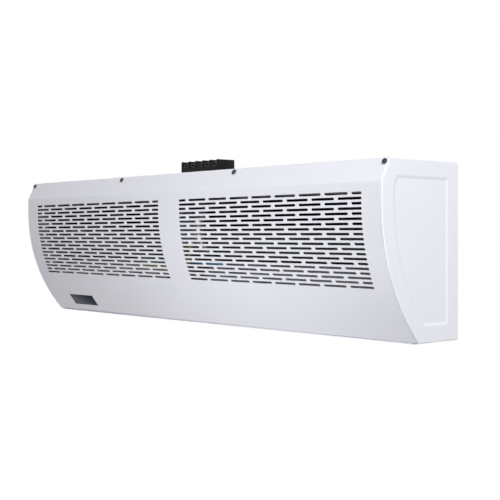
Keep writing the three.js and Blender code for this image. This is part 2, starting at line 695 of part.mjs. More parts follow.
function partition(side) {
  const front = AXIS[0] - HUB_RADIUS - PARTITION_MARGIN;
  const loop = [
    [front, TOP - UNDER],
    [front, TONGUE[1][1] + PARTITION_STEP],
    [TONGUE[2][0] - SHEET, TONGUE[2][1]],
    [TONGUE[3][0] - SHEET, DUCT_LOW],
    [REAR - UNDER, DUCT_LOW],
    [REAR - UNDER, TOP - UNDER],
  ];
  const plate = solid(barX(loop, side * (PARTITION_X - SHEET / 2), side * (PARTITION_X + SHEET / 2)));
  const [near, far] = [side * (PARTITION_X - THROUGH), side * (PARTITION_X + THROUGH)];
  return cut(plate, rod([near, ...AXIS], [far, ...AXIS], 2 * SHAFT_RADIUS));
}

// ---- Fan rotor ----
function impeller(side) {
  const discs = [];
  for (let i = 0; i <= FAN_RINGS + 1; i += 1) {
    const x = FAN_START + ((FAN_END - FAN_DISC - FAN_START) * i) / (FAN_RINGS + 1);
    const isEnd = i === 0 || i === FAN_RINGS + 1;
    const inner = isEnd ? SHAFT_RADIUS + GAP : FAN_RADIUS - RING_WIDTH;
    discs.push(ringOnAxis(inner, FAN_RADIUS, side * x, side * (x + FAN_DISC)));
  }
  const inHub = side * (FAN_START + FAN_DISC / 2);
  const outHub = side * (FAN_END - FAN_DISC / 2);
  discs.push(ringOnAxis(SHAFT_RADIUS + GAP, HUB_RADIUS, inHub, inHub + side * HUB_LENGTH));
  discs.push(ringOnAxis(SHAFT_RADIUS + GAP, HUB_RADIUS, outHub, outHub - side * HUB_LENGTH));
  const blades = [];
  const from = side * (FAN_START + FAN_DISC / 2);
  const to = side * (FAN_END - FAN_DISC / 2);
  for (let i = 0; i < BLADES; i += 1) {
    const angle = (2 * Math.PI * i) / BLADES;
    const outer = FAN_RADIUS - BLADE_INSET;
    const inner = outer - BLADE_CHORD * Math.cos(BLADE_PITCH_ANGLE);
    const lean = BLADE_CHORD * Math.sin(BLADE_PITCH_ANGLE);
    const loop = sheetLoop([[outer, 0], [inner, lean]], BLADE_THICKNESS).map(([r, s]) => [
      AXIS[0] + r * Math.cos(angle) - s * Math.sin(angle),
      AXIS[1] + r * Math.sin(angle) + s * Math.cos(angle),
    ]);
    blades.push(barX(loop, from, to));
  }
  return join(discs[0], ...discs.slice(1), together(blades));
}

function rotorShaft() {
  const reach = FAN_START + HUB_LENGTH - SHAFT_RADIUS;
  const shaft = rod([-reach, ...AXIS], [reach, ...AXIS], SHAFT_RADIUS);
  const core = STACK_HALF - CORE_INSET;
  return join(shaft, rod([-core, ...AXIS], [core, ...AXIS], BORE_RADIUS - AIR_GAP));
}

function stubAxle(side) {
  const end = SIDE_PLATE_X + STUB_REACH;
  return rod([side * end, ...AXIS], [side * (end - STUB_LENGTH), ...AXIS], SHAFT_RADIUS);
}

const BUSH_FROM = SIDE_PLATE_X - BUSH_LEAD;
const BUSH_TO = BUSH_FROM + BUSH_LENGTH;

function bearingBush(side) {
  return ringOnAxis(SHAFT_RADIUS + GAP, BUSH_RADIUS, side * BUSH_FROM, side * BUSH_TO);
}

function bearingCup(side) {
  const [inner, outer] = [BUSH_RADIUS + GAP, BUSH_RADIUS + GAP + CUP_WALL];
  const face = SIDE_PLATE_X + SIDE_PLATE / 2 + GAP;
  const sleeve = ringOnAxis(inner, outer, side * (BUSH_FROM - CUP_LEAD), side * (BUSH_TO + CUP_LEAD));
  const flange = ringOnAxis(inner, outer + CUP_FLANGE, side * face, side * (face + CUP_FLANGE_LENGTH));
  return join(sleeve, flange);
}

// ---- Motor ----
function motorCore() {
  return ringOnAxis(BORE_RADIUS, MOTOR_RADIUS, -STACK_HALF, STACK_HALF);
}

const BELL_FROM = STACK_HALF + GAP;
const BELL_TO = BELL_FROM + BELL_LENGTH;

function motorBell(side) {
  const bore = SHAFT_RADIUS + GAP;
  const shoulder = MOTOR_RADIUS * SHOULDER_SHARE;
  const skirt = BELL_FROM + BELL_LENGTH / 2;
  const loop = [
    [bore, BELL_TO - BELL_WALL],
    [shoulder, BELL_TO - BELL_WALL - BELL_CROWN],
    [MOTOR_RADIUS - BELL_WALL, skirt],
    [MOTOR_RADIUS - BELL_WALL, BELL_FROM],
    [MOTOR_RADIUS, BELL_FROM],
    [MOTOR_RADIUS, skirt],
    [shoulder + BELL_CROWN, BELL_TO - BELL_CROWN],
    [BOSS_RADIUS, BELL_TO],
    [BOSS_RADIUS, BELL_TO + BOSS_LENGTH],
    [bore, BELL_TO + BOSS_LENGTH],
  ];
  return turnedOnAxis(mirroredLoop(loop, side));
}

const MOUNT_RING_FROM = BELL_TO + GAP;
const MOUNT_RING_OUTER = BOSS_RADIUS + GAP + MOUNT_RING_WALL;

function motorRing(side) {
  const to = MOUNT_RING_FROM + MOUNT_RING_LENGTH;
  return ringOnAxis(BOSS_RADIUS + GAP, MOUNT_RING_OUTER, side * MOUNT_RING_FROM, side * to);
}

function motorCradle() {
  const armX = MOUNT_RING_FROM + (MOUNT_RING_LENGTH - CRADLE_SHEET) / 2;
  const rear = REAR - UNDER;
  const half = CRADLE_HALF_HEIGHT;
  const wide = armX + CRADLE_SHEET;
  const back = box(-wide, wide, rear - CRADLE_SHEET, rear, AXIS[1] - half, AXIS[1] + half);
  const reach = MOUNT_RING_OUTER + CRADLE_MARGIN;
  const loop = [
    [AXIS[0] - reach / 2, AXIS[1] - reach],
    [AXIS[0] + reach / 2, AXIS[1] - reach],
    [rear - CRADLE_SHEET / 2, AXIS[1] - half],
    [rear - CRADLE_SHEET / 2, AXIS[1] + half],
    [AXIS[0] + reach / 2, AXIS[1] + reach],
    [AXIS[0] - reach / 2, AXIS[1] + reach],
    [AXIS[0] - reach, AXIS[1] + reach / 2],
    [AXIS[0] - reach, AXIS[1] - reach / 2],
  ];
  const arms = [-1, 1].map((side) => barX(loop, side * armX, side * (armX + CRADLE_SHEET)));
  const end = armX + THROUGH;
  const hole = rod([-end, ...AXIS], [end, ...AXIS], MOUNT_RING_OUTER + GAP);
  return cut(join(back, ...arms), hole);
}

// ---- Outlet frame, vanes and link ----
const FRAME_MIDDLE = (FRAME_FRONT + FRAME_REAR) / 2;
const VANE_Z = BOTTOM + VANE_RISE;
const VANE_Y = [FRAME_MIDDLE - OUTLET_WIDTH / 4, FRAME_MIDDLE + OUTLET_WIDTH / 4];
const FRAME_INSIDE = FRAME_HALF - FRAME_END;

function outletFrame() {
  const lipTop = BOTTOM - GAP;
  const ductTop = BOTTOM + FRAME_HEIGHT;
  const duct = box(-FRAME_HALF, FRAME_HALF, FRAME_FRONT, FRAME_REAR, lipTop - FRAME_LIP / 2, ductTop);
  const lipX = FRAME_HALF + LIP_SIDE;
  const [lipFront, lipRear] = [BOTTOM_EDGE - LIP_FRONT, FRAME_REAR + LIP_REAR];
  const lip = box(-lipX, lipX, lipFront, lipRear, lipTop - FRAME_LIP, lipTop);
  const [y0, y1] = [FRAME_FRONT + FRAME_WALL, FRAME_REAR - FRAME_WALL];
  const opening = box(-FRAME_INSIDE, FRAME_INSIDE, y0, y1, lipTop - THROUGH, ductTop + THROUGH);
  const frame = cut(join(duct, lip), opening);
  const radius = VANE_PIN_RADIUS + GAP;
  const holes = [];
  const [inner, outer] = [FRAME_INSIDE - SHEET, FRAME_HALF + SHEET];
  for (const y of VANE_Y) {
    holes.push(rod([-outer, y, VANE_Z], [-inner, y, VANE_Z], radius, SMALL_ROUND));
    holes.push(rod([inner, y, VANE_Z], [outer, y, VANE_Z], radius, SMALL_ROUND));
  }
  return cut(frame, ...holes);
}

const VANE_LEFT = -FRAME_INSIDE + VANE_END_GAP;
const VANE_RIGHT = FRAME_INSIDE - LINK_ROOM;
const LINK_START = VANE_RIGHT + LINK_OFFSET;
const LINK_END = LINK_START + LINK_THICKNESS;
const CRANK_Z = VANE_Z + CRANK;

function vanePin(y, z, from, to, radius) {
  return rod([from, y, z], [to, y, z], radius, SMALL_ROUND);
}

function vane(y) {
  const half = VANE_CHORD / 2;
  const thick = VANE_THICKNESS / 2;
  const taper = half - VANE_TAPER;
  const loop = [[0, half], [-thick, taper], [-thick, -taper], [0, -half], [thick, -taper], [thick, taper]];
  const blade = barX(loop.map(([dy, dz]) => [y + dy, VANE_Z + dz]), VANE_LEFT, VANE_RIGHT);
  const pinEnd = FRAME_INSIDE + VANE_PIN_LENGTH;
  const leftPin = vanePin(y, VANE_Z, -pinEnd, VANE_LEFT + SHEET, VANE_PIN_RADIUS);
  const rightPin = vanePin(y, VANE_Z, VANE_RIGHT - SHEET, pinEnd, VANE_PIN_RADIUS);
  const bossRadius = CRANK_PIN_RADIUS + CRANK_BOSS_WALL;
  const boss = vanePin(y, CRANK_Z, VANE_RIGHT - VANE_PIN_LENGTH, LINK_START - GAP, bossRadius);
  const crankPin = vanePin(y, CRANK_Z, VANE_RIGHT, LINK_END + CRANK_PIN_PROUD, CRANK_PIN_RADIUS);
  return join(blade, leftPin, rightPin, boss, crankPin);
}

function vaneLink() {
  const strap = box(LINK_START, LINK_END, ...VANE_Y, CRANK_Z - LINK_RADIUS, CRANK_Z + LINK_RADIUS);
  const ends = VANE_Y.map((y) => rod([LINK_START, y, CRANK_Z], [LINK_END, y, CRANK_Z], LINK_RADIUS));
  const [from, to] = [LINK_START - SHEET, LINK_END + SHEET];
  const holes = VANE_Y.map((y) => vanePin(y, CRANK_Z, from, to, CRANK_PIN_RADIUS + GAP));
  return cut(join(strap, ...ends), ...holes);
}

// ---- Heaters ----
const HEATER_HIGH = BOTTOM + HEATER_TOP;
const HEATER_LOW = HEATER_HIGH - HEATER_HEIGHT;
const CAP_LOW = HEATER_LOW - CAP_WALL;
const CAP_HIGH = HEATER_HIGH + CAP_WALL;

function yOnLine(a, b, z) {
  return a[0] + ((b[0] - a[0]) * (z - a[1])) / (b[1] - a[1]);
}

const CAP_FRONT = yOnLine(TONGUE[2], TONGUE[3], CAP_LOW) + GAP;
const CAP_REAR = yOnLine(SCROLL[SCROLL.length - 2], SCROLL[SCROLL.length - 1], CAP_LOW) - GAP;
const HEATER_FRONT = CAP_FRONT + CAP_WALL + GAP;
const HEATER_REAR = CAP_REAR - CAP_WALL - GAP;

function heater(side) {
  const middle = (HEATER_FRONT + HEATER_REAR) / 2;
  const parts = [];
  const [x0, x1] = [side * HEATER_START, side * HEATER_END];
  for (const y of [HEATER_FRONT + TUBE / 2, middle, HEATER_REAR - TUBE / 2]) {
    parts.push(box(x0, x1, y - TUBE / 2, y + TUBE / 2, HEATER_LOW, HEATER_HIGH));
  }
  const fins = [];
  const [finY0, finY1] = [HEATER_FRONT + TUBE / 2, HEATER_REAR - TUBE / 2];
  for (let i = 1; i <= HEATER_FINS; i += 1) {
    const x = side * (HEATER_START + ((HEATER_END - HEATER_START) * i) / (HEATER_FINS + 1));
    fins.push(box(x - FIN / 2, x + FIN / 2, finY0, finY1, HEATER_LOW + FIN, HEATER_HIGH - FIN));
  }
  return join(parts[0], ...parts.slice(1), together(fins));
}

function heaterCap(end, inward) {
  const x0 = end + inward * (CAP_OVERLAP - CAP_LENGTH);
  const x1 = end + inward * CAP_OVERLAP;
  const block = solid(box(x0, x1, CAP_FRONT, CAP_REAR, CAP_LOW, CAP_HIGH));
  const [y0, y1] = [HEATER_FRONT - GAP, HEATER_REAR + GAP];
  const [z0, z1] = [HEATER_LOW - GAP, HEATER_HIGH + GAP];
  return cut(block, box(end - inward * GAP, x1 + inward, y0, y1, z0, z1));
}

// ---- Over-temperature cut-out with its reset button ----
function cutoutRod(from, to, radius) {
  const [start, end] = [DUCT_REAR(CUTOUT_DOWN, from), DUCT_REAR(CUTOUT_DOWN, to)];
  return rod([CUTOUT_X, ...start], [CUTOUT_X, ...end], radius);
}

const CUTOUT_SEAT = SHEET + GAP;
const BUTTON_SEAT = CUTOUT_SEAT + CUTOUT_DEPTH - BUTTON_LENGTH / 2;

function thermalCutout() {
  const [x0, x1] = [CUTOUT_X - CUTOUT_WING, CUTOUT_X + CUTOUT_WING];
  const [high, low] = [CUTOUT_DOWN - CUTOUT_WING_HALF, CUTOUT_DOWN + CUTOUT_WING_HALF];
  const plate = plateOn(DUCT_REAR, x0, x1, high, low, CUTOUT_SEAT, CUTOUT_SEAT + SHEET);
  const body = cutoutRod(CUTOUT_SEAT, CUTOUT_SEAT + CUTOUT_DEPTH, CUTOUT_RADIUS);
  const floor = BUTTON_SEAT - BUTTON_TRAVEL - GAP;
  const bore = cutoutRod(floor, CUTOUT_SEAT + 2 * CUTOUT_DEPTH, BUTTON_RADIUS + GAP);
  return cut(join(plate, body), bore);
}

function resetButton() {
  return cutoutRod(BUTTON_SEAT, BUTTON_SEAT + BUTTON_LENGTH, BUTTON_RADIUS);
}

// ---- Display ----
function displayWindow() {
  const lens = displayPlate(0, 0, UNDER + 1);
  return join(lens, displayPlate(BEZEL_MARGIN, UNDER, UNDER + BEZEL_WALL));
}

const BEZEL_FROM = UNDER + BEZEL_WALL + GAP;

function displayBezel() {
  const to = BEZEL_FROM + BEZEL_DEPTH;
  const frame = solid(displayPlate(BEZEL_MARGIN, BEZEL_FROM, to));
  return cut(frame, displayPlate(BEZEL_MARGIN - BEZEL_WALL, BEZEL_FROM - SHEET, to + SHEET));
}

function displayBoard() {
  const seat = BEZEL_FROM + BEZEL_DEPTH + GAP;
  const board = displayPlate(BEZEL_MARGIN + 1, seat, seat + BOARD);
  return join(board, displayPlate(-BEZEL_MARGIN, BEZEL_FROM + SHEET, seat + BOARD / 2));
}

// ---- Control parts on the duct's front wall ----
const WALL_SEAT = SHEET + GAP;

function controlBoard() {
  const low = CONTROL_DOWN + CONTROL_HEIGHT;
  const [up0, up1] = [WALL_SEAT + STANDOFF, WALL_SEAT + STANDOFF + BOARD];
  const parts = [plateOn(DUCT_FRONT, CONTROL_FROM, CONTROL_TO, CONTROL_DOWN, low, up0, up1)];
  const half = STANDOFF_WIDTH / 2;
  for (const x of [CONTROL_FROM + STANDOFF, CONTROL_TO - STANDOFF]) {
    for (const along of [CONTROL_DOWN + STANDOFF, low - STANDOFF]) {
      const [x0, x1] = [x - half, x + half];
      parts.push(plateOn(DUCT_FRONT, x0, x1, along - half, along + half, WALL_SEAT, up0 + BOARD / 2));
    }
  }
  const [from, to] = [CONTROL_FROM + CONNECTOR_START, CONTROL_TO - CONNECTOR_DEPTH];
  const start = CONTROL_DOWN + BOARD;
  parts.push(plateOn(DUCT_FRONT, from, to, start, start + CONNECTOR_DEPTH, up0, up1 + CONNECTOR_HEIGHT));
  const room = (CONTROL_TO - CONTROL_FROM - CONNECTOR_START) / RELAYS;
  const relayLow = low - RELAY_MARGIN;
  for (let i = 0; i < RELAYS; i += 1) {
    const x = CONTROL_FROM + 2 * STANDOFF + i * room;
    const end = x + room * RELAY_SHARE;
    parts.push(plateOn(DUCT_FRONT, x, end, relayLow - RELAY_DEPTH, relayLow, up0, up1 + RELAY_HEIGHT));
  }
  return join(parts[0], ...parts.slice(1));
}

function runCapacitor() {
  const [x0, x1] = [CAPACITOR_FROM, CAPACITOR_FROM + CAPACITOR_LENGTH];
  const low = CONTROL_DOWN + CAPACITOR_HEIGHT;
  const can = plateOn(DUCT_FRONT, x0, x1, CONTROL_DOWN, low, WALL_SEAT, WALL_SEAT + CAPACITOR_THICKNESS);
  const [high, foot] = [CONTROL_DOWN + CAPACITOR_HEIGHT / 4, low - CAPACITOR_HEIGHT / 4];
  const end = x1 + CAPACITOR_FOOT;
  return join(can, plateOn(DUCT_FRONT, x1 - SHEET, end, high, foot, WALL_SEAT, WALL_SEAT + 2 * SHEET));
}

function transformer() {
  const front = FRAME_REAR + TRANSFORMER_ROOM;
  const rear = REAR - UNDER - TRANSFORMER_BACK_ROOM;
  const step = (rear - front) * TRANSFORMER_STEP_SHARE;
  const floor = BOTTOM + UNDER;
  const high = floor + TRANSFORMER_HEIGHT;
  const [x0, x1] = [TRANSFORMER_X - TRANSFORMER_LENGTH / 2, TRANSFORMER_X + TRANSFORMER_LENGTH / 2];
  const core = box(x0, x1, front + step, rear - step, floor, high);
  const wall = TRANSFORMER_COIL_DROP;
  const coil = box(x0 + TRANSFORMER_FOOT, x1 - TRANSFORMER_FOOT, front, rear, floor + wall, high - wall);
  const [footFront, footRear] = [front + 1.5 * step, rear - 1.5 * step];
  const foot = box(x0 - TRANSFORMER_FOOT, x1 + TRANSFORMER_FOOT, footFront, footRear, floor, floor + SHEET);
  return join(core, coil, foot);
}

// ---- Leads ----
function lead(points, steps) {
  const path = new THREE.CatmullRomCurve3(points.map((p) => new THREE.Vector3(...p)), false, "centripetal");
  const section = new THREE.Shape();
  for (let i = 0; i < LEAD_SIDES; i += 1) {
    const angle = (2 * Math.PI * i) / LEAD_SIDES;
    const point = [LEAD_RADIUS * Math.cos(angle), LEAD_RADIUS * Math.sin(angle)];
    if (i === 0) {
      section.moveTo(...point);
    } else {
      section.lineTo(...point);
    }
  }
  return new THREE.ExtrudeGeometry(section, { steps, extrudePath: path, bevelEnabled: false });
}

const LEAD_HEIGHT = LEAD_RADIUS + 2 * GAP;
const PLUG_HEIGHT = WALL_SEAT + STANDOFF + LEAD_BEND;
const plugPoint = (x, extra) => [x, ...DUCT_FRONT(CONTROL_DOWN - GAP - extra, PLUG_HEIGHT)];

// From the ledge down through its hole, to the pieces on the duct wall.
function leadDrop(x, level, along) {
  return [
    [x - 3 * along * LEAD_BEND, ...LEDGE(level, LEAD_HEIGHT)],
    [x - along * LEAD_BEND, ...LEDGE(level, LEAD_HEIGHT)],
    [x, ...LEDGE(level, 0)],
    [x, ...LEDGE(level, -LEAD_BEND)],
    plugPoint(x, LEAD_BEND),
    plugPoint(x, 0),
  ];
}

function yellowLead() {
  const [cos, sin] = [Math.cos(YELLOW_TAKEOFF), Math.sin(YELLOW_TAKEOFF)];
  const onMotor = (away) => [AXIS[0] + away * cos, AXIS[1] + away * sin];
  const x = YELLOW_START_X;
  const ledge = LEDGE(YELLOW_LEVEL, LEAD_HEIGHT);
  const above = (out, up) => [ledge[0] - out * LEAD_BEND, ledge[1] + up * LEAD_BEND];
  return lead([
    [x, ...onMotor(MOTOR_RADIUS + GAP)],
    [x, ...onMotor(MOTOR_RADIUS + LEAD_BEND)],
    [x, ...above(2, 3)],
    [x - 2 * LEAD_BEND, ...above(1, 1)],
    [x - 5 * LEAD_BEND, ...ledge],
    [x - 9 * LEAD_BEND, ...ledge],
    [(x + YELLOW_HOLE_X) / 2, ...ledge],
    ...leadDrop(YELLOW_HOLE_X, YELLOW_LEVEL, -1),
  ], LEAD_STEPS);
}

function blueLead() {
  const ledge = LEDGE(BLUE_LEVEL, LEAD_HEIGHT);
  return lead([
    ...leadDrop(BLUE_START_X, BLUE_LEVEL, 1).reverse(),
    [BLUE_START_X / 2, ...ledge],
    [0, ...ledge],
    [BLUE_HOLE_X / 2, ...ledge],
    ...leadDrop(BLUE_HOLE_X, BLUE_LEVEL, -1),
  ], LEAD_STEPS);
}

// ---- Terminal block ----
const BLOCK_LOW = TOP + GAP;
const BAY_PITCH = (BLOCK_LENGTH - BARRIER) / POLES;
const BLOCK_REAR = -BLOCK_FRONT + BLOCK_DEPTH;

function terminalBlock() {
  const [x0, x1] = [BLOCK_X - BLOCK_LENGTH / 2, BLOCK_X + BLOCK_LENGTH / 2];
  const body = box(x0, x1, -BLOCK_FRONT, BLOCK_REAR, BLOCK_LOW, BLOCK_LOW + BLOCK_HEIGHT);
  const middle = (BLOCK_REAR - BLOCK_FRONT) / 2;
  const [s0, s1] = [BLOCK_X - SPIGOT_LENGTH / 2, BLOCK_X + SPIGOT_LENGTH / 2];
  const [y0, y1] = [middle - SPIGOT_DEPTH / 2, middle + SPIGOT_DEPTH / 2];
  const spigot = box(s0, s1, y0, y1, TOP - SPIGOT_DROP, BLOCK_LOW + SHEET);
  const bays = [];
  for (let pole = 0; pole < POLES; pole += 1) {
    const from = x0 + BARRIER + pole * BAY_PITCH;
    const to = from + BAY_PITCH - BARRIER;
    const top = BLOCK_LOW + BLOCK_HEIGHT + THROUGH;
    const [front, rear] = [-BLOCK_FRONT - THROUGH, BLOCK_REAR + THROUGH];
    bays.push(box(from, to, front, rear, BLOCK_LOW + BLOCK_FLOOR, top));
  }
  return cut(join(body, spigot), ...bays);
}

function terminal(pole) {
  const room = BAY_PITCH - BARRIER;
  const middle = BLOCK_X - BLOCK_LENGTH / 2 + BARRIER + pole * BAY_PITCH + room / 2;
  const half = room / 2 - CLAMP_MARGIN;
  const floor = BLOCK_LOW + BLOCK_FLOOR + GAP;
  const top = floor + CLAMP_HEIGHT;
  const [front, rear] = [-BLOCK_FRONT + CLAMP_MARGIN, BLOCK_REAR - CLAMP_MARGIN];
  const bar = box(middle - half, middle + half, front, rear, floor, top);
  const screwRows = [-BLOCK_FRONT + CLAMP_SCREW_INSET, BLOCK_REAR - CLAMP_SCREW_INSET];
  const headTop = top + CLAMP_HEAD_HEIGHT;
  const head = (y) => rod([middle, y, top - SHEET], [middle, y, headTop], CLAMP_HEAD_RADIUS, SMALL_ROUND);
  return join(bar, ...screwRows.map(head));
}

// ---- Assembly ----
const SIDES = [["left", -1], ["right", 1]];
const LEAD_HOLES = {
  left: [leadHole(YELLOW_HOLE_X, YELLOW_LEVEL), leadHole(BLUE_HOLE_X, BLUE_LEVEL)],
  right: [leadHole(BLUE_START_X, BLUE_LEVEL)],
};

piece("front_panel", "white_coat", frontPanel());
piece("rear_casing", "white_coat", rearCasing());
piece("wall_plate", "galvanised", wallPlate());
piece("outlet_frame", "white_coat", outletFrame());
piece("motor_core", "motor_steel", motorCore());
piece("motor_cradle", "galvanised", motorCradle());
piece("rotor_shaft", "steel", rotorShaft());

for (const [name, side] of SIDES) {
  piece(name + "_end_plate", "white_coat", endPlate(side));
  piece(name + "_scroll", "galvanised", scroll(side));
  piece(name + "_tongue", "galvanised", tongue(side, LEAD_HOLES[name]));
  piece(name + "_fan_side_plate", "galvanised", sidePlate(side));
  piece(name + "_partition", "galvanised", partition(side));
  piece(name + "_impeller", "dark_impeller", impeller(side));
  piece(name + "_stub_axle", "steel", stubAxle(side));
  piece(name + "_bearing_bush", "brass", bearingBush(side));
  piece(name + "_bearing_cup", "rubber", bearingCup(side));
  piece(name + "_motor_bell", "aluminium", motorBell(side));
  piece(name + "_motor_ring", "rubber", motorRing(side));
  piece(name + "_heater", "aluminium", heater(side));
  piece(name + "_heater_inner_cap", "beige_plastic", heaterCap(side * HEATER_START, side));
  piece(name + "_heater_outer_cap", "beige_plastic", heaterCap(side * HEATER_END, -side));
}

piece("thermal_cutout", "black_plastic", thermalCutout());
piece("reset_button", "red_plastic", resetButton());
piece("display_window", "display", displayWindow());
piece("display_bezel", "black_plastic", displayBezel());
piece("display_board", "board_green", displayBoard());
piece("control_board", "board_green", controlBoard());
piece("run_capacitor", "black_plastic", runCapacitor());
piece("transformer", "motor_steel", transformer());
piece("yellow_lead", "yellow_lead", yellowLead());
piece("blue_lead", "blue_lead", blueLead());
piece("terminal_block_base", "black_plastic", terminalBlock());
for (let pole = 0; pole < POLES; pole += 1) {
  piece("terminal_" + (pole + 1), "brass", terminal(pole));
}
screwPlaces().forEach((x, i) => piece("panel_screw_" + (i + 1), "dark_screw", panelScrew(x)));
piece("front_vane", "aluminium", vane(VANE_Y[0]));
piece("rear_vane", "aluminium", vane(VANE_Y[1]));
piece("vane_link", "black_plastic", vaneLink());

export default airCurtain;
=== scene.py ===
"""Looks of a wall-hung air curtain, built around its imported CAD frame.

Every length is in millimetres while a piece is modelled, and each finished mesh is put into
metres, in the frame's own axes: +X along the housing, +Y into the wall, +Z up, the origin on the
wall plane.
"""

import cmath
import json
import logging
import math
from collections.abc import Callable, Iterable, Sequence
from dataclasses import dataclass, field
from enum import Enum

import bmesh
import bpy
from bmesh.types import BMEdge, BMesh, BMFace, BMVert
from mathutils import Matrix, Vector

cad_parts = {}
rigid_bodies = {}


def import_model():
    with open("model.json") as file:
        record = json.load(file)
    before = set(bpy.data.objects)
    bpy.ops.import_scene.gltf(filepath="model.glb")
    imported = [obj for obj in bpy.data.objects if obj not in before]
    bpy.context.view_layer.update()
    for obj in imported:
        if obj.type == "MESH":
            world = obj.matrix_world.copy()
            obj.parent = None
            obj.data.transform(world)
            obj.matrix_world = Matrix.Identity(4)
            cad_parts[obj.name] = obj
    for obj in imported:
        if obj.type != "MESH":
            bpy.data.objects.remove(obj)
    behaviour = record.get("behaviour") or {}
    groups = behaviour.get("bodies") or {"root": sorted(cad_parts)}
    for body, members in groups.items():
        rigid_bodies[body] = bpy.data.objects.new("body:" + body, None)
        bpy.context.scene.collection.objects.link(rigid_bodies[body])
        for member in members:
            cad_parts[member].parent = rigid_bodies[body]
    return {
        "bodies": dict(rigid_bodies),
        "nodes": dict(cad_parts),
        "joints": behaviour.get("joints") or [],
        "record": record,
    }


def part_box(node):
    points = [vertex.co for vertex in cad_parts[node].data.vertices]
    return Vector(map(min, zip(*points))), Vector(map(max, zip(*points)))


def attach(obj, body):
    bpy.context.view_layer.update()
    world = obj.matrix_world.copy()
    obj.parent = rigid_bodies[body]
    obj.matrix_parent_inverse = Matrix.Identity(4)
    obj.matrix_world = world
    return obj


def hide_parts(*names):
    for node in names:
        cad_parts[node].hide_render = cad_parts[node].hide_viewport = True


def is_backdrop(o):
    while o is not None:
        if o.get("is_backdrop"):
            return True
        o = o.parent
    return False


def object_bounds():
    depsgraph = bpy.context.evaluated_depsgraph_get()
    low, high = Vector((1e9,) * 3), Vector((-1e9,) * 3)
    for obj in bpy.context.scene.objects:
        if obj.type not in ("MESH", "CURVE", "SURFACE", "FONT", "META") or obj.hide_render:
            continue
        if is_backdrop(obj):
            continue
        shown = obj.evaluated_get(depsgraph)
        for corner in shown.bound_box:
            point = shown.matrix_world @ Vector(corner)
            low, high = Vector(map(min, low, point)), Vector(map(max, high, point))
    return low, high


MM = 0.001
WIDE_RADIUS = 50.0  # bends above this radius are sweeps, below it folds
SHARP = math.radians(35)  # edges that turn more than this stay crisp
CUT = math.radians(60)  # the turn between a sheet's face and its cut side is more than this
FACET_RUN = 15.0  # top front corner to the foremost line, towards the wall
GLOSS_SPREAD = 0.06  # how far the grain and the drifts move a roughness
COAT_ROUGHNESS = 0.08
BAND_WIDTH = 0.314  # width of one band of the wave texture at scale 1
LOG = logging.getLogger("air_curtain")

Colour = tuple[float, float, float]
Place = tuple[float, float, float]
Profile = Sequence[tuple[float, float]]


def linear(red: int, green: int, blue: int) -> Colour:
    """Turn a colour of 0 to 255 into the linear values that a shader takes.

    Args:
        red: Red, 0 to 255.
        green: Green.
        blue: Blue.

    Returns:
        The linear colour.
    """

    def channel(value: int) -> float:
        """Undo the display curve of one channel."""
        share = value / 255
        return share / 12.92 if share <= 0.04045 else ((share + 0.055) / 1.055) ** 2.4

    return channel(red), channel(green), channel(blue)


# --------------------------------------------------------------------------------------------------
# Shader maths
# --------------------------------------------------------------------------------------------------


class Signal:
    """An output socket that takes part in Python arithmetic by adding Math nodes."""

    def __init__(self, graph: "Graph", socket: bpy.types.NodeSocket) -> None:
        """Wrap one output socket.

        Args:
            graph: The graph that the socket belongs to.
            socket: The output socket.
        """
        self.graph = graph
        self.socket = socket

    def _math(self, operation: str, first: "Signal | float", second: "Signal | float") -> "Signal":
        """Add one Math node and return its value."""
        return self.graph.node("ShaderNodeMath", {"operation": operation}, {0: first, 1: second})

    def __add__(self, other: "Signal | float") -> "Signal":
        """Add."""
        return self._math("ADD", self, other)

    def __radd__(self, other: float) -> "Signal":
        """Add to a number."""
        return self._math("ADD", other, self)

    def __rsub__(self, other: float) -> "Signal":
        """Subtract from a number."""
        return self._math("SUBTRACT", other, self)

    def __mul__(self, other: "Signal | float") -> "Signal":
        """Multiply."""
        return self._math("MULTIPLY", self, other)

    def __rmul__(self, other: float) -> "Signal":
        """Multiply a number."""
        return self._math("MULTIPLY", other, self)

    def __truediv__(self, other: "Signal | float") -> "Signal":
        """Divide."""
        return self._math("DIVIDE", self, other)

    def __gt__(self, other: float) -> "Signal":
        """Give 1 where the value is above a number and 0 elsewhere."""
        return self._math("GREATER_THAN", self, other)

    def larger(self, other: "Signal | float") -> "Signal":
        """Give the larger of two values."""
        return self._math("MAXIMUM", self, other)

    def smaller(self, other: "Signal | float") -> "Signal":
        """Give the smaller of two values."""
        return self._math("MINIMUM", self, other)


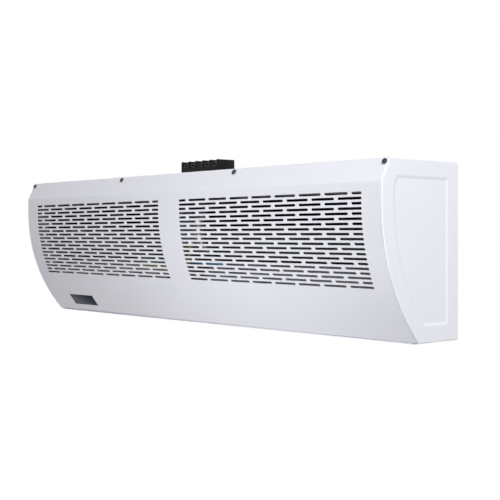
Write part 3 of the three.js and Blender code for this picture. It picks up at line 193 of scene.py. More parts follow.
class Graph:
    """The node graph of one material or world."""

    def __init__(self, owner: bpy.types.Material | bpy.types.World) -> None:
        """Empty the owner's node tree and start a new one.

        Args:
            owner: The material or world whose nodes are made here.
        """
        owner.use_nodes = True
        self.tree = owner.node_tree
        self.tree.nodes.clear()

    def node(
        self,
        kind: str,
        settings: dict[str, object] | None = None,
        values: dict[int | str, object] | None = None,
        output: int | str = 0,
    ) -> Signal:
        """Add a node.

        Args:
            kind: The node's type.
            settings: Its own settings, set first.
            values: Numbers, colours or signals for its input sockets, by name or index.
            output: The output socket that is wanted.

        Returns:
            That output socket.
        """
        node = self.tree.nodes.new(kind)
        for name, setting in (settings or {}).items():
            setattr(node, name, setting)
        for key, value in (values or {}).items():
            if isinstance(value, Signal):
                self.tree.links.new(value.socket, node.inputs[key])
            else:
                node.inputs[key].default_value = value
        return Signal(self, node.outputs[output])

    def place(self, scale: Place = (1, 1, 1)) -> Signal:
        """Give the object coordinates, in metres.

        Args:
            scale: How far they are stretched along each axis.

        Returns:
            The coordinates.
        """
        here = self.node("ShaderNodeTexCoord", output="Object")
        if scale == (1, 1, 1):
            return here
        values = {"Vector": here, "Scale": scale}
        return self.node("ShaderNodeMapping", {"vector_type": "POINT"}, values)

    def noise(self, size: float, detail: float = 2.0, stretch: Place = (1, 1, 1)) -> Signal:
        """Give noise whose blobs are about size millimetres wide, around 0.5."""
        values = {"Vector": self.place(stretch), "Scale": 1 / (size * MM), "Detail": detail}
        return self.node("ShaderNodeTexNoise", values=values)

    def cells(self, size: float, feature: str, output: str) -> Signal:
        """Give a Voronoi pattern whose cells are about size millimetres wide."""
        values = {"Vector": self.place(), "Scale": 1 / (size * MM)}
        return self.node("ShaderNodeTexVoronoi", {"feature": feature}, values, output)

    def blend(self, share: Signal, first: Colour | Signal, second: Colour | Signal) -> Signal:
        """Mix two colours.

        Args:
            share: The second colour's share.
            first: The first colour.
            second: The second colour.

        Returns:
            The mixed colour.
        """

        def full(colour: Colour | Signal) -> Signal | tuple[float, float, float, float]:
            """Give a plain colour its alpha."""
            return colour if isinstance(colour, Signal) else (*colour, 1)

        settings = {"data_type": "RGBA", "clamp_factor": True}
        return self.node("ShaderNodeMix", settings, {0: share, 6: full(first), 7: full(second)}, 2)

    def relief(self, height: Signal, depth: float, strength: float) -> Signal:
        """Give a bumped normal.

        Args:
            height: The relief's height, 0 to 1.
            depth: What 1 stands for, in millimetres.
            strength: The share of the relief that shows.

        Returns:
            The normal.
        """
        values = {"Height": height, "Distance": depth * MM, "Strength": strength}
        return self.node("ShaderNodeBump", values=values, output="Normal")

    def surface(self, shader: Signal, kind: str = "ShaderNodeOutputMaterial") -> None:
        """End the graph at its output node."""
        node = self.tree.nodes.new(kind)
        self.tree.links.new(shader.socket, node.inputs["Surface"])


# --------------------------------------------------------------------------------------------------
# Finishes
# --------------------------------------------------------------------------------------------------


def scaled(colour: Colour, share: float) -> Colour:
    """Make a colour lighter or darker."""
    return tuple(min(1.0, channel * share) for channel in colour)


@dataclass(frozen=True)
class Finish:
    """One finish: a moulded or painted surface with a fine grain and faint clouds of tone.

    Attributes:
        name: The material's name.
        slot: The record's material slot; not used here.
        colour: Linear colour.
        roughness: Middle value of the roughness.
        metallic: 0 for paint and plastic, 1 for bare metal.
        grain: Width of the surface grain, in millimetres.
        grain_depth: Height of that grain, in millimetres.
        clouds: How much the tone drifts over the surface.
        cloud_size: Width of the drifts, in millimetres.
        coat: Weight of a clear coat.
        specular: Strength of the reflection, 0.5 for common plastics and paints.
    """

    name: str
    slot: str
    colour: Colour
    roughness: float
    metallic: float = 0.0
    grain: float = 0.8
    grain_depth: float = 0.01
    clouds: float = 0.04
    cloud_size: float = 60.0
    coat: float = 0.0
    specular: float = 0.5

    def tone(self, graph: Graph) -> Signal:
        """Give the base colour, which drifts a little over the surface."""
        dark, pale = (scaled(self.colour, share) for share in (1 - self.clouds, 1 + self.clouds))
        return graph.blend(graph.noise(self.cloud_size, 3), dark, pale)

    def height(self, graph: Graph) -> Signal:
        """Give the surface's relief, 0 to 1."""
        return graph.noise(self.grain, 3)

    def gloss(self, graph: Graph, height: Signal) -> Signal:
        """Give the roughness, which follows the grain and the drifts."""
        low = self.roughness - GLOSS_SPREAD
        return low + GLOSS_SPREAD * height + GLOSS_SPREAD * graph.noise(self.cloud_size / 3, 2)

    def material(self) -> bpy.types.Material:
        """Make the material, or find it where it is made already.

        Returns:
            The material.
        """
        known = bpy.data.materials.get(self.name)
        if known:
            return known
        material = bpy.data.materials.new(self.name)
        material.diffuse_color = (*self.colour, 1)
        graph = Graph(material)
        height = self.height(graph)
        values = {
            "Base Color": self.tone(graph),
            "Metallic": self.metallic,
            "Roughness": self.gloss(graph, height),
            "Coat Weight": self.coat,
            "Coat Roughness": COAT_ROUGHNESS,
            "Specular IOR Level": self.specular,
            "Normal": graph.relief(height, self.grain_depth, 1.0),
        }
        graph.surface(graph.node("ShaderNodeBsdfPrincipled", values=values))
        return material


@dataclass(frozen=True)
class Spangled(Finish):
    """Zinc-coated sheet: crystals a few millimetres wide, each with its own tone.

    Attributes:
        crystal: Width of a crystal, in millimetres.
        dark: Share of the colour in the darkest crystal.
        pale: The same in the palest.
        matt: How far the roughness falls and rises from crystal to crystal.
        fine: How far the grain raises it.
    """

    crystal: float = 7.0
    dark: float = 0.78
    pale: float = 1.1
    matt: float = 0.08
    fine: float = 0.04

    def shade(self, graph: Graph, channel: int) -> Signal:
        """Give each crystal its own number from 0 to 1, by a channel of the cells' colours."""
        values = {0: graph.cells(self.crystal, "F1", "Color")}
        return graph.node("ShaderNodeSeparateColor", values=values, output=channel)

    def tone(self, graph: Graph) -> Signal:
        """Give each zinc crystal its own shade of grey."""
        dark, pale = scaled(self.colour, self.dark), scaled(self.colour, self.pale)
        return graph.blend(self.shade(graph, 0), dark, pale)

    def gloss(self, graph: Graph, height: Signal) -> Signal:
        """Let the crystals differ in gloss."""
        low = self.roughness - self.matt
        return low + 2 * self.matt * self.shade(graph, 1) + self.fine * height


@dataclass(frozen=True)
class Turned(Finish):
    """Machined metal: fine rings left by the tool, running round the X axis.

    Attributes:
        pitch: Width of a ring, in millimetres.
        round_stretch: How far the pattern is drawn out round the axis.
    """

    pitch: float = 0.5
    round_stretch: float = 0.02

    def height(self, graph: Graph) -> Signal:
        """Give the tool marks."""
        return graph.noise(self.pitch, 2, (1, self.round_stretch, self.round_stretch))


@dataclass(frozen=True)
class Stacked(Finish):
    """A pack of thin laminations, stacked along the X axis.

    Attributes:
        pitch: Thickness of a lamination, in millimetres.
        waver: How uneven their edges are.
    """

    pitch: float = 1.0
    waver: float = 0.4

    def height(self, graph: Graph) -> Signal:
        """Give the edges of the laminations.

        Args:
            graph: The material's graph.

        Returns:
            The relief, 0 to 1.
        """
        settings = {"wave_type": "BANDS", "bands_direction": "X", "wave_profile": "SAW"}
        scale = BAND_WIDTH / (self.pitch * MM)
        values = {"Vector": graph.place(), "Scale": scale, "Distortion": self.waver, "Detail": 1.0}
        return graph.node("ShaderNodeTexWave", settings, values, "Fac")


@dataclass(frozen=True)
class Circuit(Finish):
    """A circuit board: solder mask over faint copper tracks.

    Attributes:
        track: Distance between tracks, in millimetres.
        width: Half a track's width, as a share of that distance.
        show: How strongly the tracks show.
        pale: How much paler than the mask they are.
    """

    track: float = 4.0
    width: float = 0.08
    show: float = 0.7
    pale: float = 2.2

    def tone(self, graph: Graph) -> Signal:
        """Let the tracks show paler through the mask.

        Args:
            graph: The material's graph.

        Returns:
            The base colour.
        """
        edge = graph.cells(self.track, "DISTANCE_TO_EDGE", "Distance")
        track = 1 - (edge > self.width)
        return graph.blend(track * self.show, self.colour, scaled(self.colour, self.pale))


@dataclass(frozen=True)
class Lens(Finish):
    """The display's smoked window: glossy, with a faint lighter field in its middle.

    Attributes:
        middle: The window's middle, in millimetres.
        reach: How far the field reaches, in millimetres.
        pale: How much lighter its middle is.
    """

    middle: Place = (0.0, 0.0, 0.0)
    reach: float = 45.0
    pale: float = 2.0

    def tone(self, graph: Graph) -> Signal:
        """Fade from the dark rim to the slightly lighter field behind the window.

        Args:
            graph: The material's graph.

        Returns:
            The base colour.
        """
        away = graph.node(
            "ShaderNodeVectorMath",
            {"operation": "DISTANCE"},
            {0: graph.place(), 1: tuple(value * MM for value in self.middle)},
            "Value",
        )
        field_share = 1 - (away / (self.reach * MM)).smaller(1.0)
        return graph.blend(field_share, self.colour, scaled(self.colour, self.pale))


class Finishes:
    """All finishes of the air curtain."""

    WHITE = Finish(
        "powder_coat_white", "white_coat", linear(236, 237, 245), roughness=0.42,
        grain=1.1, grain_depth=0.02, clouds=0.008, cloud_size=90, coat=0.15,
    )
    ZINC = Spangled(
        "galvanised_sheet", "galvanised", linear(172, 174, 178), roughness=0.42,
        metallic=0.8, grain=0.6, grain_depth=0.004,
    )
    BLACK = Finish(
        "black_moulding", "black_plastic", linear(14, 14, 18), roughness=0.5,
        grain=0.35, grain_depth=0.012, clouds=0.12, cloud_size=30, specular=0.12,
    )
    IMPELLER = Finish(
        "impeller_moulding", "dark_impeller", linear(26, 27, 30), roughness=0.5,
        grain=0.5, grain_depth=0.01, clouds=0.1, cloud_size=40,
    )
    BRASS = Finish(
        "brass_bush", "brass", linear(196, 160, 92), roughness=0.3,
        metallic=1, grain=0.25, grain_depth=0.006, clouds=0.12, cloud_size=8,
    )
    CLAMP = Finish(
        "plated_clamp", "brass", linear(84, 80, 72), roughness=0.42,
        metallic=0.85, grain=0.25, grain_depth=0.006, clouds=0.14, cloud_size=6,
    )
    STEEL = Turned(
        "turned_steel", "steel", linear(188, 190, 194), roughness=0.28,
        metallic=1, grain=0.5, grain_depth=0.004, clouds=0.05, cloud_size=30,
    )
    SCREW = Finish(
        "blackened_screw", "dark_screw", linear(76, 76, 84), roughness=0.4,
        metallic=0.6, grain=0.2, grain_depth=0.004, clouds=0.15, cloud_size=6, specular=0.08,
    )
    ALUMINIUM = Finish(
        "cast_aluminium", "aluminium", linear(190, 192, 196), roughness=0.42,
        metallic=0.9, grain=0.7, grain_depth=0.03, clouds=0.06, cloud_size=25,
    )
    LAMINATIONS = Stacked(
        "motor_laminations", "motor_steel", linear(120, 122, 126), roughness=0.5,
        metallic=0.8, grain=1, grain_depth=0.08, clouds=0.08, cloud_size=12,
    )
    RUBBER = Finish(
        "soft_rubber", "rubber", linear(30, 30, 31), roughness=0.82,
        grain=0.9, grain_depth=0.03, clouds=0.12, cloud_size=15,
    )
    CERAMIC = Finish(
        "heater_cap", "beige_plastic", linear(214, 204, 180), roughness=0.5,
        grain=0.6, grain_depth=0.02, clouds=0.05, cloud_size=20,
    )
    RED = Finish(
        "red_button", "red_plastic", linear(178, 40, 34), roughness=0.35,
        grain=0.4, grain_depth=0.006, clouds=0.06, cloud_size=5,
    )
    BOARD = Circuit(
        "circuit_board", "board_green", linear(24, 84, 54), roughness=0.35,
        grain=0.5, grain_depth=0.01, clouds=0.05, cloud_size=20, coat=0.3,
    )
    YELLOW = Finish(
        "yellow_sleeve", "yellow_lead", linear(228, 200, 52), roughness=0.4,
        grain=0.8, grain_depth=0.01, clouds=0.08, cloud_size=12,
    )
    BLUE = Finish(
        "blue_sleeve", "blue_lead", linear(70, 150, 190), roughness=0.4,
        grain=0.8, grain_depth=0.01, clouds=0.08, cloud_size=12,
    )


# --------------------------------------------------------------------------------------------------
# Sheet metal in section
# --------------------------------------------------------------------------------------------------


class BentLine:
    """The outer face of a bent sheet in section, from corners with bend radii.

    The line runs with the outside on its left: up the front, over the top, down the back. Points
    and normals are complex numbers, y + z j.
    """

    def __init__(self, corners: Sequence[tuple[float, float, float]]) -> None:
        """Lay the line through its corners.

        Args:
            corners: (y, z, outer bend radius) of each corner; the ends' radii don't count.
        """
        points = [complex(y, z) for y, z, _ in corners]
        self.stretches: list[tuple[float, complex, complex, float]] = []
        self.marks = [0.0]
        distance, here = 0.0, points[0]
        for i in range(1, len(points) - 1):
            before = (points[i] - points[i - 1]) / abs(points[i] - points[i - 1])
            after = (points[i + 1] - points[i]) / abs(points[i + 1] - points[i])
            turn = cmath.phase(after / before)
            radius = corners[i][2]
            tangent = radius * math.tan(abs(turn) / 2)
            start = points[i] - before * tangent
            self.stretches.append((distance, here, before, 0.0))
            distance += abs(start - here)
            self.stretches.append((distance, start, before, math.copysign(1 / radius, turn)))
            self.marks.append(distance + radius * abs(turn) / 2)
            distance += radius * abs(turn)
            here = points[i] + after * tangent
        last = (points[-1] - here) / abs(points[-1] - here)
        self.stretches.append((distance, here, last, 0.0))
        self.length = distance + abs(points[-1] - here)
        self.marks.append(self.length)

    def at(self, distance: float) -> tuple[complex, complex]:
        """Find a point of the line.

        Args:
            distance: How far along the line it lies.

        Returns:
            The point and the outward normal there.
        """
        found = [stretch for stretch in self.stretches if stretch[0] <= distance + 1e-9]
        start, point, heading, curvature = (found or self.stretches)[-1 if found else 0]
        along = distance - start
        if curvature == 0:
            return point + heading * along, 1j * heading
        turned = heading * cmath.exp(1j * along * curvature)
        return point + 1j * (heading - turned) / curvature, 1j * turned

    def stations(
        self, tight: float = math.radians(15), wide: float = math.radians(2)
    ) -> list[float]:
        """List the distances at which a faceted sheet needs an edge.

        Args:
            tight: The largest angle of one facet in a fold.
            wide: The same in a wide bend.

        Returns:
            Distances from the start to the end of the line.
        """
        ends = [stretch[0] for stretch in self.stretches[1:]] + [self.length]
        stops = [0.0]
        for (start, _, _, curvature), end in zip(self.stretches, ends):
            span = end - start
            turn = tight if abs(curvature) * WIDE_RADIUS > 1 else wide
            steps = max(1, math.ceil(abs(curvature) * span / turn - 1e-6))
            stops += [start + span * step / steps for step in range(1, steps + 1)]
        return stops


@dataclass(frozen=True)
class Section:
    """The housing's section, shared by the front panel, the casing and the end plates.

    Attributes:
        depth: Wall plane to the foremost line.
        top_depth: Wall plane to the top front corner.
        high: Level of the top face; the bottom lies as far below.
        kink_drop: Top face down to the line where the facet meets the front.
        straight: Upright band below that line.
        nose_radius: Bend of the front.
        sweep: How far the front turns under.
        kink_radius: Bend at the kink.
        edge_radius: Bend at the lower edge.
    """

    depth: float
    top_depth: float
    high: float
    kink_drop: float = 30.6
    straight: float = 25.0
    nose_radius: float = 270.0
    sweep: float = math.radians(40)
    kink_radius: float = 3.0
    edge_radius: float = 0.8

    @property
    def kink(self) -> float:
        """Level of the kink."""
        return self.high - self.kink_drop

    @property
    def under_corner(self) -> tuple[float, float]:
        """Where the upright band and the lower tail would meet without the nose's bend."""
        return -self.depth, self.kink - self.straight - self.nose_radius * math.tan(self.sweep / 2)

    @property
    def lower_edge(self) -> float:
        """Where the front ends at the bottom, measured from the wall plane."""
        y, z = self.under_corner
        return y + (z + self.high) * math.tan(self.sweep)

    def front(self, hem: float) -> BentLine:
        """Give the front panel's line, from its hem up to the top.

        Args:
            hem: Width of the hem that is folded under.

        Returns:
            The line.
        """
        return BentLine(
            [
                (self.lower_edge + hem, -self.high, 0),
                (self.lower_edge, -self.high, self.edge_radius),
                (*self.under_corner, self.nose_radius),
                (-self.depth, self.kink, self.kink_radius),
                (-self.top_depth, self.high, 0),
            ]
        )

    def ring(self, inset: float, ease: float) -> list[complex]:
        """Give the housing's outline, moved inwards. Every ring has the same number of points.

        Args:
            inset: How far it is moved.
            ease: Radius of its corners.

        Returns:
            The outline's points, from the middle of the back down and round.
        """
        corners = [0j, complex(0, -self.high), complex(self.lower_edge, -self.high)]
        corners += [complex(*self.under_corner), complex(-self.depth, self.kink)]
        corners += [complex(-self.top_depth, self.high), complex(0, self.high), 0j]
        points = []
        for i, corner in enumerate(corners):
            before = corners[i - 1] if i else corners[-2]
            after = corners[i + 1] if i + 1 < len(corners) else corners[1]
            inward = [-1j * (b - a) / abs(b - a) for a, b in ((before, corner), (corner, after))]
            spread = 1 + (inward[0] * inward[1].conjugate()).real
            moved = corner + inset * (inward[0] + inward[1]) / spread
            radius = self.nose_radius - inset if i == 3 else ease
            points.append((moved.real, moved.imag, radius))
        line = BentLine(points)
        return [line.at(stop)[0] for stop in line.stations()[:-1]]


# --------------------------------------------------------------------------------------------------
# Mesh work
# --------------------------------------------------------------------------------------------------


def bevel(bm: BMesh, edges: Iterable[BMEdge], width: float, segments: int = 2) -> None:
    """Round edges.

    Args:
        bm: The mesh.
        edges: Its edges to round.
        width: How far each edge is moved.
        segments: Facets of the rounding.
    """
    bmesh.ops.bevel(
        bm,
        geom=list(edges),
        offset=width,
        offset_type="OFFSET",
        segments=segments,
        profile=0.5,
        affect="EDGES",
        material=-1,
        clamp_overlap=True,
    )


def sharp_edges(bm: BMesh, angle: float = SHARP) -> list[BMEdge]:
    """List the edges between faces that turn more than an angle."""
    pairs = (edge for edge in bm.edges if len(edge.link_faces) == 2)
    return [edge for edge in pairs if edge.calc_face_angle(0) > angle]


def add_box(bm: BMesh, low: Place, high: Place) -> None:
    """Add a box.

    Args:
        bm: The mesh that it is added to.
        low: The box's lowest corner.
        high: Its highest corner.
    """
    size = [b - a for a, b in zip(low, high)]
    middle = [(a + b) / 2 for a, b in zip(low, high)]
    matrix = Matrix.Translation(middle) @ Matrix.Diagonal((*size, 1))
    bmesh.ops.create_cube(bm, size=1, matrix=matrix)


def add_to(bm: BMesh, other: BMesh) -> None:
    """Add another mesh's islands to a mesh.

    Args:
        bm: The mesh that grows.
        other: The mesh that is added, freed here.
    """
    carrier = bpy.data.meshes.new("carrier")
    other.to_mesh(carrier)
    other.free()
    bm.from_mesh(carrier)
    bpy.data.meshes.remove(carrier)


def aim(bm: BMesh, place: Vector, direction: Vector) -> None:
    """Turn a piece that was made along X and carry it to its place.

    Args:
        bm: The piece.
        place: Where its origin comes to lie.
        direction: Where its X axis comes to point.
    """
    turn = Vector((1, 0, 0)).rotation_difference(direction).to_matrix()
    bmesh.ops.rotate(bm, cent=(0, 0, 0), matrix=turn, verts=bm.verts)
    bmesh.ops.translate(bm, vec=place, verts=bm.verts)


def flat_sheet(x0: float, x1: float, length: float) -> BMesh:
    """Make one flat face that looks to +z.

    Args:
        x0: One end.
        x1: The other end.
        length: How far it reaches along y, from 0.

    Returns:
        The sheet.
    """
    bm = bmesh.new()
    middle = Matrix.Translation(((x0 + x1) / 2, length / 2, 0))
    place = middle @ Matrix.Diagonal(((x1 - x0) / 2, length / 2, 1, 1))
    bmesh.ops.create_grid(bm, x_segments=1, y_segments=1, size=1, matrix=place)
    return bm


def rule(
    bm: BMesh,
    axis: int,
    places: Iterable[float],
    where: Callable[[Vector], bool] = lambda middle: True,
) -> None:
    """Divide faces along lines.

    Args:
        bm: A flat sheet.
        axis: 0 for lines across x, 1 for lines across y.
        places: Where the lines lie on that axis.
        where: Says of a face's middle whether the face is divided.
    """
    normal = Vector((1, 0, 0) if axis == 0 else (0, 1, 0))
    for place in places:
        faces = [face for face in bm.faces if where(face.calc_center_median())]
        edges = dict.fromkeys(edge for face in faces for edge in face.edges)
        verts = dict.fromkeys(vert for face in faces for vert in face.verts)
        geom = [*verts, *edges, *faces]
        bmesh.ops.bisect_plane(
            bm, geom=geom, dist=1e-5, plane_co=normal * place, plane_no=normal
        )


def window(bm: BMesh, x0: float, x1: float, y0: float, y1: float) -> None:
    """Cut a rectangular opening in a flat sheet that is ruled along its sides.

    Args:
        bm: The sheet.
        x0: The opening's one end.
        x1: Its other end.
        y0: Its lower side.
        y1: Its upper side.
    """
    middles = [(face, face.calc_center_median()) for face in bm.faces]
    inside = [face for face, middle in middles if x0 < middle.x < x1 and y0 < middle.y < y1]
    bmesh.ops.delete(bm, geom=inside, context="FACES")


def thicken(bm: BMesh, thickness: float) -> None:
    """Give an open sheet its thickness behind its faces."""
    bmesh.ops.solidify(bm, geom=list(bm.faces), thickness=thickness)


def fold(bm: BMesh, line: BentLine) -> None:
    """Bend a flat sheet: y runs along the line, z stands out of it.

    Args:
        bm: The sheet.
        line: Its outer face in section.
    """
    for vert in bm.verts:
        point, normal = line.at(vert.co.y)
        bent = point + normal * vert.co.z
        vert.co = (vert.co.x, bent.real, bent.imag)


def flat_rims(bm: BMesh) -> list[BMEdge]:
    """List the edges between a flat sheet's outer face and its cut sides."""
    rims = sharp_edges(bm, CUT)
    return [edge for edge in rims if all(abs(vert.co.z) < 1e-4 for vert in edge.verts)]


def bent_sheet(
    line: BentLine,
    x0: float,
    x1: float,
    thickness: float,
    columns: Iterable[float],
    openings: Iterable[tuple[float, float, float, float]],
    rim: float,
) -> BMesh:
    """Make a bent sheet from its section.

    Args:
        line: Its outer face in section.
        x0: One end.
        x1: The other end.
        thickness: The sheet's thickness.
        columns: Extra lines across x.
        openings: Rectangular openings, as x0, x1 and the distances along the line.
        rim: How far the cut edges are eased.

    Returns:
        The sheet, closed.
    """
    bm = flat_sheet(x0, x1, line.length)
    rule(bm, 1, line.stations()[1:-1])
    rule(bm, 0, columns)
    for opening in openings:
        rule(bm, 0, opening[:2])
        rule(bm, 1, opening[2:])
        window(bm, *opening)
    thicken(bm, thickness)
    bevel(bm, flat_rims(bm), rim, 1)
    fold(bm, line)
    return bm


def loft(rings: Sequence[tuple[float, list[complex]]]) -> BMesh:
    """Join outlines that have the same number of points, and close the first and the last.

    Args:
        rings: The x and the outline of each ring.

    Returns:
        The closed piece.
    """
    bm = bmesh.new()
    station = bm.verts.layers.int.new("station")
    x, outline = rings[0]
    verts = [bm.verts.new((x, point.real, point.imag)) for point in outline]
    for i, vert in enumerate(verts):
        vert[station] = i
    edges = [bm.edges.new(pair) for pair in zip(verts, verts[1:] + verts[:1])]
    bm.faces.new(verts)
    for x, outline in rings[1:]:
        made = bmesh.ops.extrude_edge_only(bm, edges=edges)["geom"]
        verts = {item for item in made if isinstance(item, BMVert)}
        edges = [item for item in made if isinstance(item, BMEdge) and set(item.verts) <= verts]
        for vert in verts:
            point = outline[vert[station]]
            vert.co = (x, point.real, point.imag)
    bm.faces.new(sorted(verts, key=lambda vert: vert[station]))
    bmesh.ops.recalc_face_normals(bm, faces=bm.faces)
    return bm


def turned(profile: Profile, centre: tuple[float, float], steps: int = 48) -> BMesh:
    """Spin a profile round an axis along X.

    Args:
        profile: (radius, x) points. The profile is a loop, or starts and ends on the axis.
        centre: (y, z) of the axis.
        steps: Sides.

    Returns:
        The turned piece.
    """
    bm = bmesh.new()
    loop = profile if profile[0][0] == 0 else [*profile, profile[0]]
    verts = [bm.verts.new((x, 0, radius)) for radius, x in loop]
    edges = [bm.edges.new(pair) for pair in zip(verts, verts[1:])]
    bmesh.ops.spin(
        bm,
        geom=[*verts, *edges],
        cent=(0, 0, 0),
        axis=(1, 0, 0),
        angle=math.tau,
        steps=steps,
        use_merge=True,
        use_duplicate=False,
    )
    bmesh.ops.remove_doubles(bm, verts=bm.verts, dist=1e-4)
    bmesh.ops.recalc_face_normals(bm, faces=bm.faces)
    bmesh.ops.translate(bm, vec=(0, *centre), verts=bm.verts)
    return bm


def pin(
    radius: float, start: float, end: float, centre: tuple[float, float], ease: float = 0.3
) -> BMesh:
    """Make a round pin along X.

    Args:
        radius: The pin's radius.
        start: One end.
        end: The other end.
        centre: (y, z) of its axis.
        ease: How far its ends are eased.

    Returns:
        The pin.
    """
    step = math.copysign(ease, end - start)
    profile = [(0, start), (radius - ease, start), (radius, start + step)]
    profile += [(radius, end - step), (radius - ease, end), (0, end)]
    return turned(profile, centre, 24)


@dataclass(frozen=True)
class SlottedScrew:
    """A slotted pan-head screw, made along X with the underside of its head at x = 0.

    Attributes:
        radius: Of the head.
        height: Of the head.
        shank: Radius of the shank.
        length: Of the shank.
        slot: Width of the slot.
        slot_depth: Depth of the slot.
        steps: Facets of the head's dome.
        fall: How far the dome's top draws in, as a share of the slot's depth.
        lap: How far a half of the dome reaches into the disc below.
        half_sides: Sides of one half of the dome.
    """

    radius: float
    height: float
    shank: float
    length: float
    slot: float
    slot_depth: float
    steps: int = 4
    fall: float = 1.6
    lap: float = 0.05
    half_sides: int = 16

    def build(self) -> BMesh:
        """Build the screw: a disc and a shank below the two halves of the dome.

        Returns:
            The screw.
        """
        floor = self.height - self.slot_depth
        disc = [(self.radius, 0), (self.radius, floor), (0, floor)]
        shank = [(0, -self.length), (self.shank, -self.length), (self.shank, 0)]
        bm = turned([*shank, *disc], (0, 0), 2 * self.half_sides)
        for side in (1, -1):
            dome = [(self.radius, floor - self.lap)]
            for step in range(self.steps + 1):
                angle = math.pi / 2 * step / self.steps
                radius = self.radius - self.fall * self.slot_depth * (1 - math.cos(angle))
                dome.append((radius, floor + self.slot_depth * math.sin(angle)))
            add_to(bm, loft([(x, self.half_outline(radius, side)) for radius, x in dome]))
        return bm

    def half_outline(self, radius: float, side: int) -> list[complex]:
        """Give one half of the dome's outline, cut off at the slot.

        Args:
            radius: The dome's radius at this level.
            side: 1 or -1, the side of the slot.

        Returns:
            The outline's points.
        """
        start, sides = math.asin(self.slot / 2 / radius), self.half_sides
        angles = [start + (math.pi - 2 * start) * i / sides for i in range(sides + 1)]
        return [side * cmath.rect(radius, angle) for angle in angles]


# --------------------------------------------------------------------------------------------------
# The frame's pieces
# --------------------------------------------------------------------------------------------------


class Frame:
    """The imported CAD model, in millimetres, and the way a finished piece is set on it."""

    def __init__(self) -> None:
        """Load the frame."""
        self.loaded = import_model()
        self.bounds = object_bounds()
        bodies = self.loaded["record"]["behaviour"]["bodies"]
        self.body_of = {node: body for body, nodes in bodies.items() for node in nodes}

    def low(self, node: str) -> Vector:
        """Lowest corner of a CAD node."""
        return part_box(node)[0] / MM

    def high(self, node: str) -> Vector:
        """Highest corner of a CAD node."""
        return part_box(node)[1] / MM

    def middle(self, node: str) -> Vector:
        """Middle of a CAD node's box."""
        return (self.low(node) + self.high(node)) / 2

    def add(self, name: str, bm: BMesh, finish: Finish, *nodes: str, sharp: float = SHARP) -> None:
        """Finish a piece and set it on the frame.

        Args:
            name: The piece's name.
            bm: Its mesh in millimetres, freed here.
            finish: Its finish.
            nodes: The CAD nodes that it stands for.
            sharp: Edges that turn more than this stay crisp.
        """
        for face in bm.faces:
            face.smooth = True
        for edge in sharp_edges(bm, sharp):
            edge.smooth = False
        bmesh.ops.scale(bm, vec=(MM, MM, MM), verts=bm.verts)
        mesh = bpy.data.meshes.new(name)
        bm.to_mesh(mesh)
        bm.free()
        piece = bpy.data.objects.new(name, mesh)
        bpy.context.scene.collection.objects.link(piece)
        mesh.materials.append(finish.material())
        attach(piece, self.body_of[nodes[0]])
        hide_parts(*nodes)
        LOG.info("%s: %d faces, stands for %s", name, len(mesh.polygons), ", ".join(nodes))

    def eased(
        self, node: str, finish: Finish, width: float, segments: int = 2, sharp: float = SHARP
    ) -> None:
        """Set a copy of a CAD node in its place, its triangles merged and its edges eased.

        Args:
            node: The node.
            finish: The copy's finish.
            width: How far sharp edges are rounded.
            segments: Facets of the rounding.
            sharp: Edges that turn more than this are rounded, or stay crisp where width is 0.
        """
        bm = bmesh.new()
        bm.from_mesh(self.loaded["nodes"][node].data)
        bmesh.ops.scale(bm, vec=(1 / MM, 1 / MM, 1 / MM), verts=bm.verts)
        bmesh.ops.remove_doubles(bm, verts=bm.verts, dist=1e-3)
        bmesh.ops.dissolve_limit(bm, angle_limit=math.radians(1), verts=bm.verts, edges=bm.edges)
        if width:
            bevel(bm, sharp_edges(bm, sharp), width, segments)
        self.add(f"{node}_skin", bm, finish, node, sharp=sharp)


class Side(Enum):
    """The housing's two ends."""

    LEFT = "left"
    RIGHT = "right"

    @property
    def sign(self) -> int:
        """Direction of the end along X."""
        return 1 if self is Side.RIGHT else -1

    def node(self, part: str) -> str:
        """Name of this end's CAD node for a part."""
        return f"{self.value}_{part}"


# --------------------------------------------------------------------------------------------------
# Housing
# --------------------------------------------------------------------------------------------------


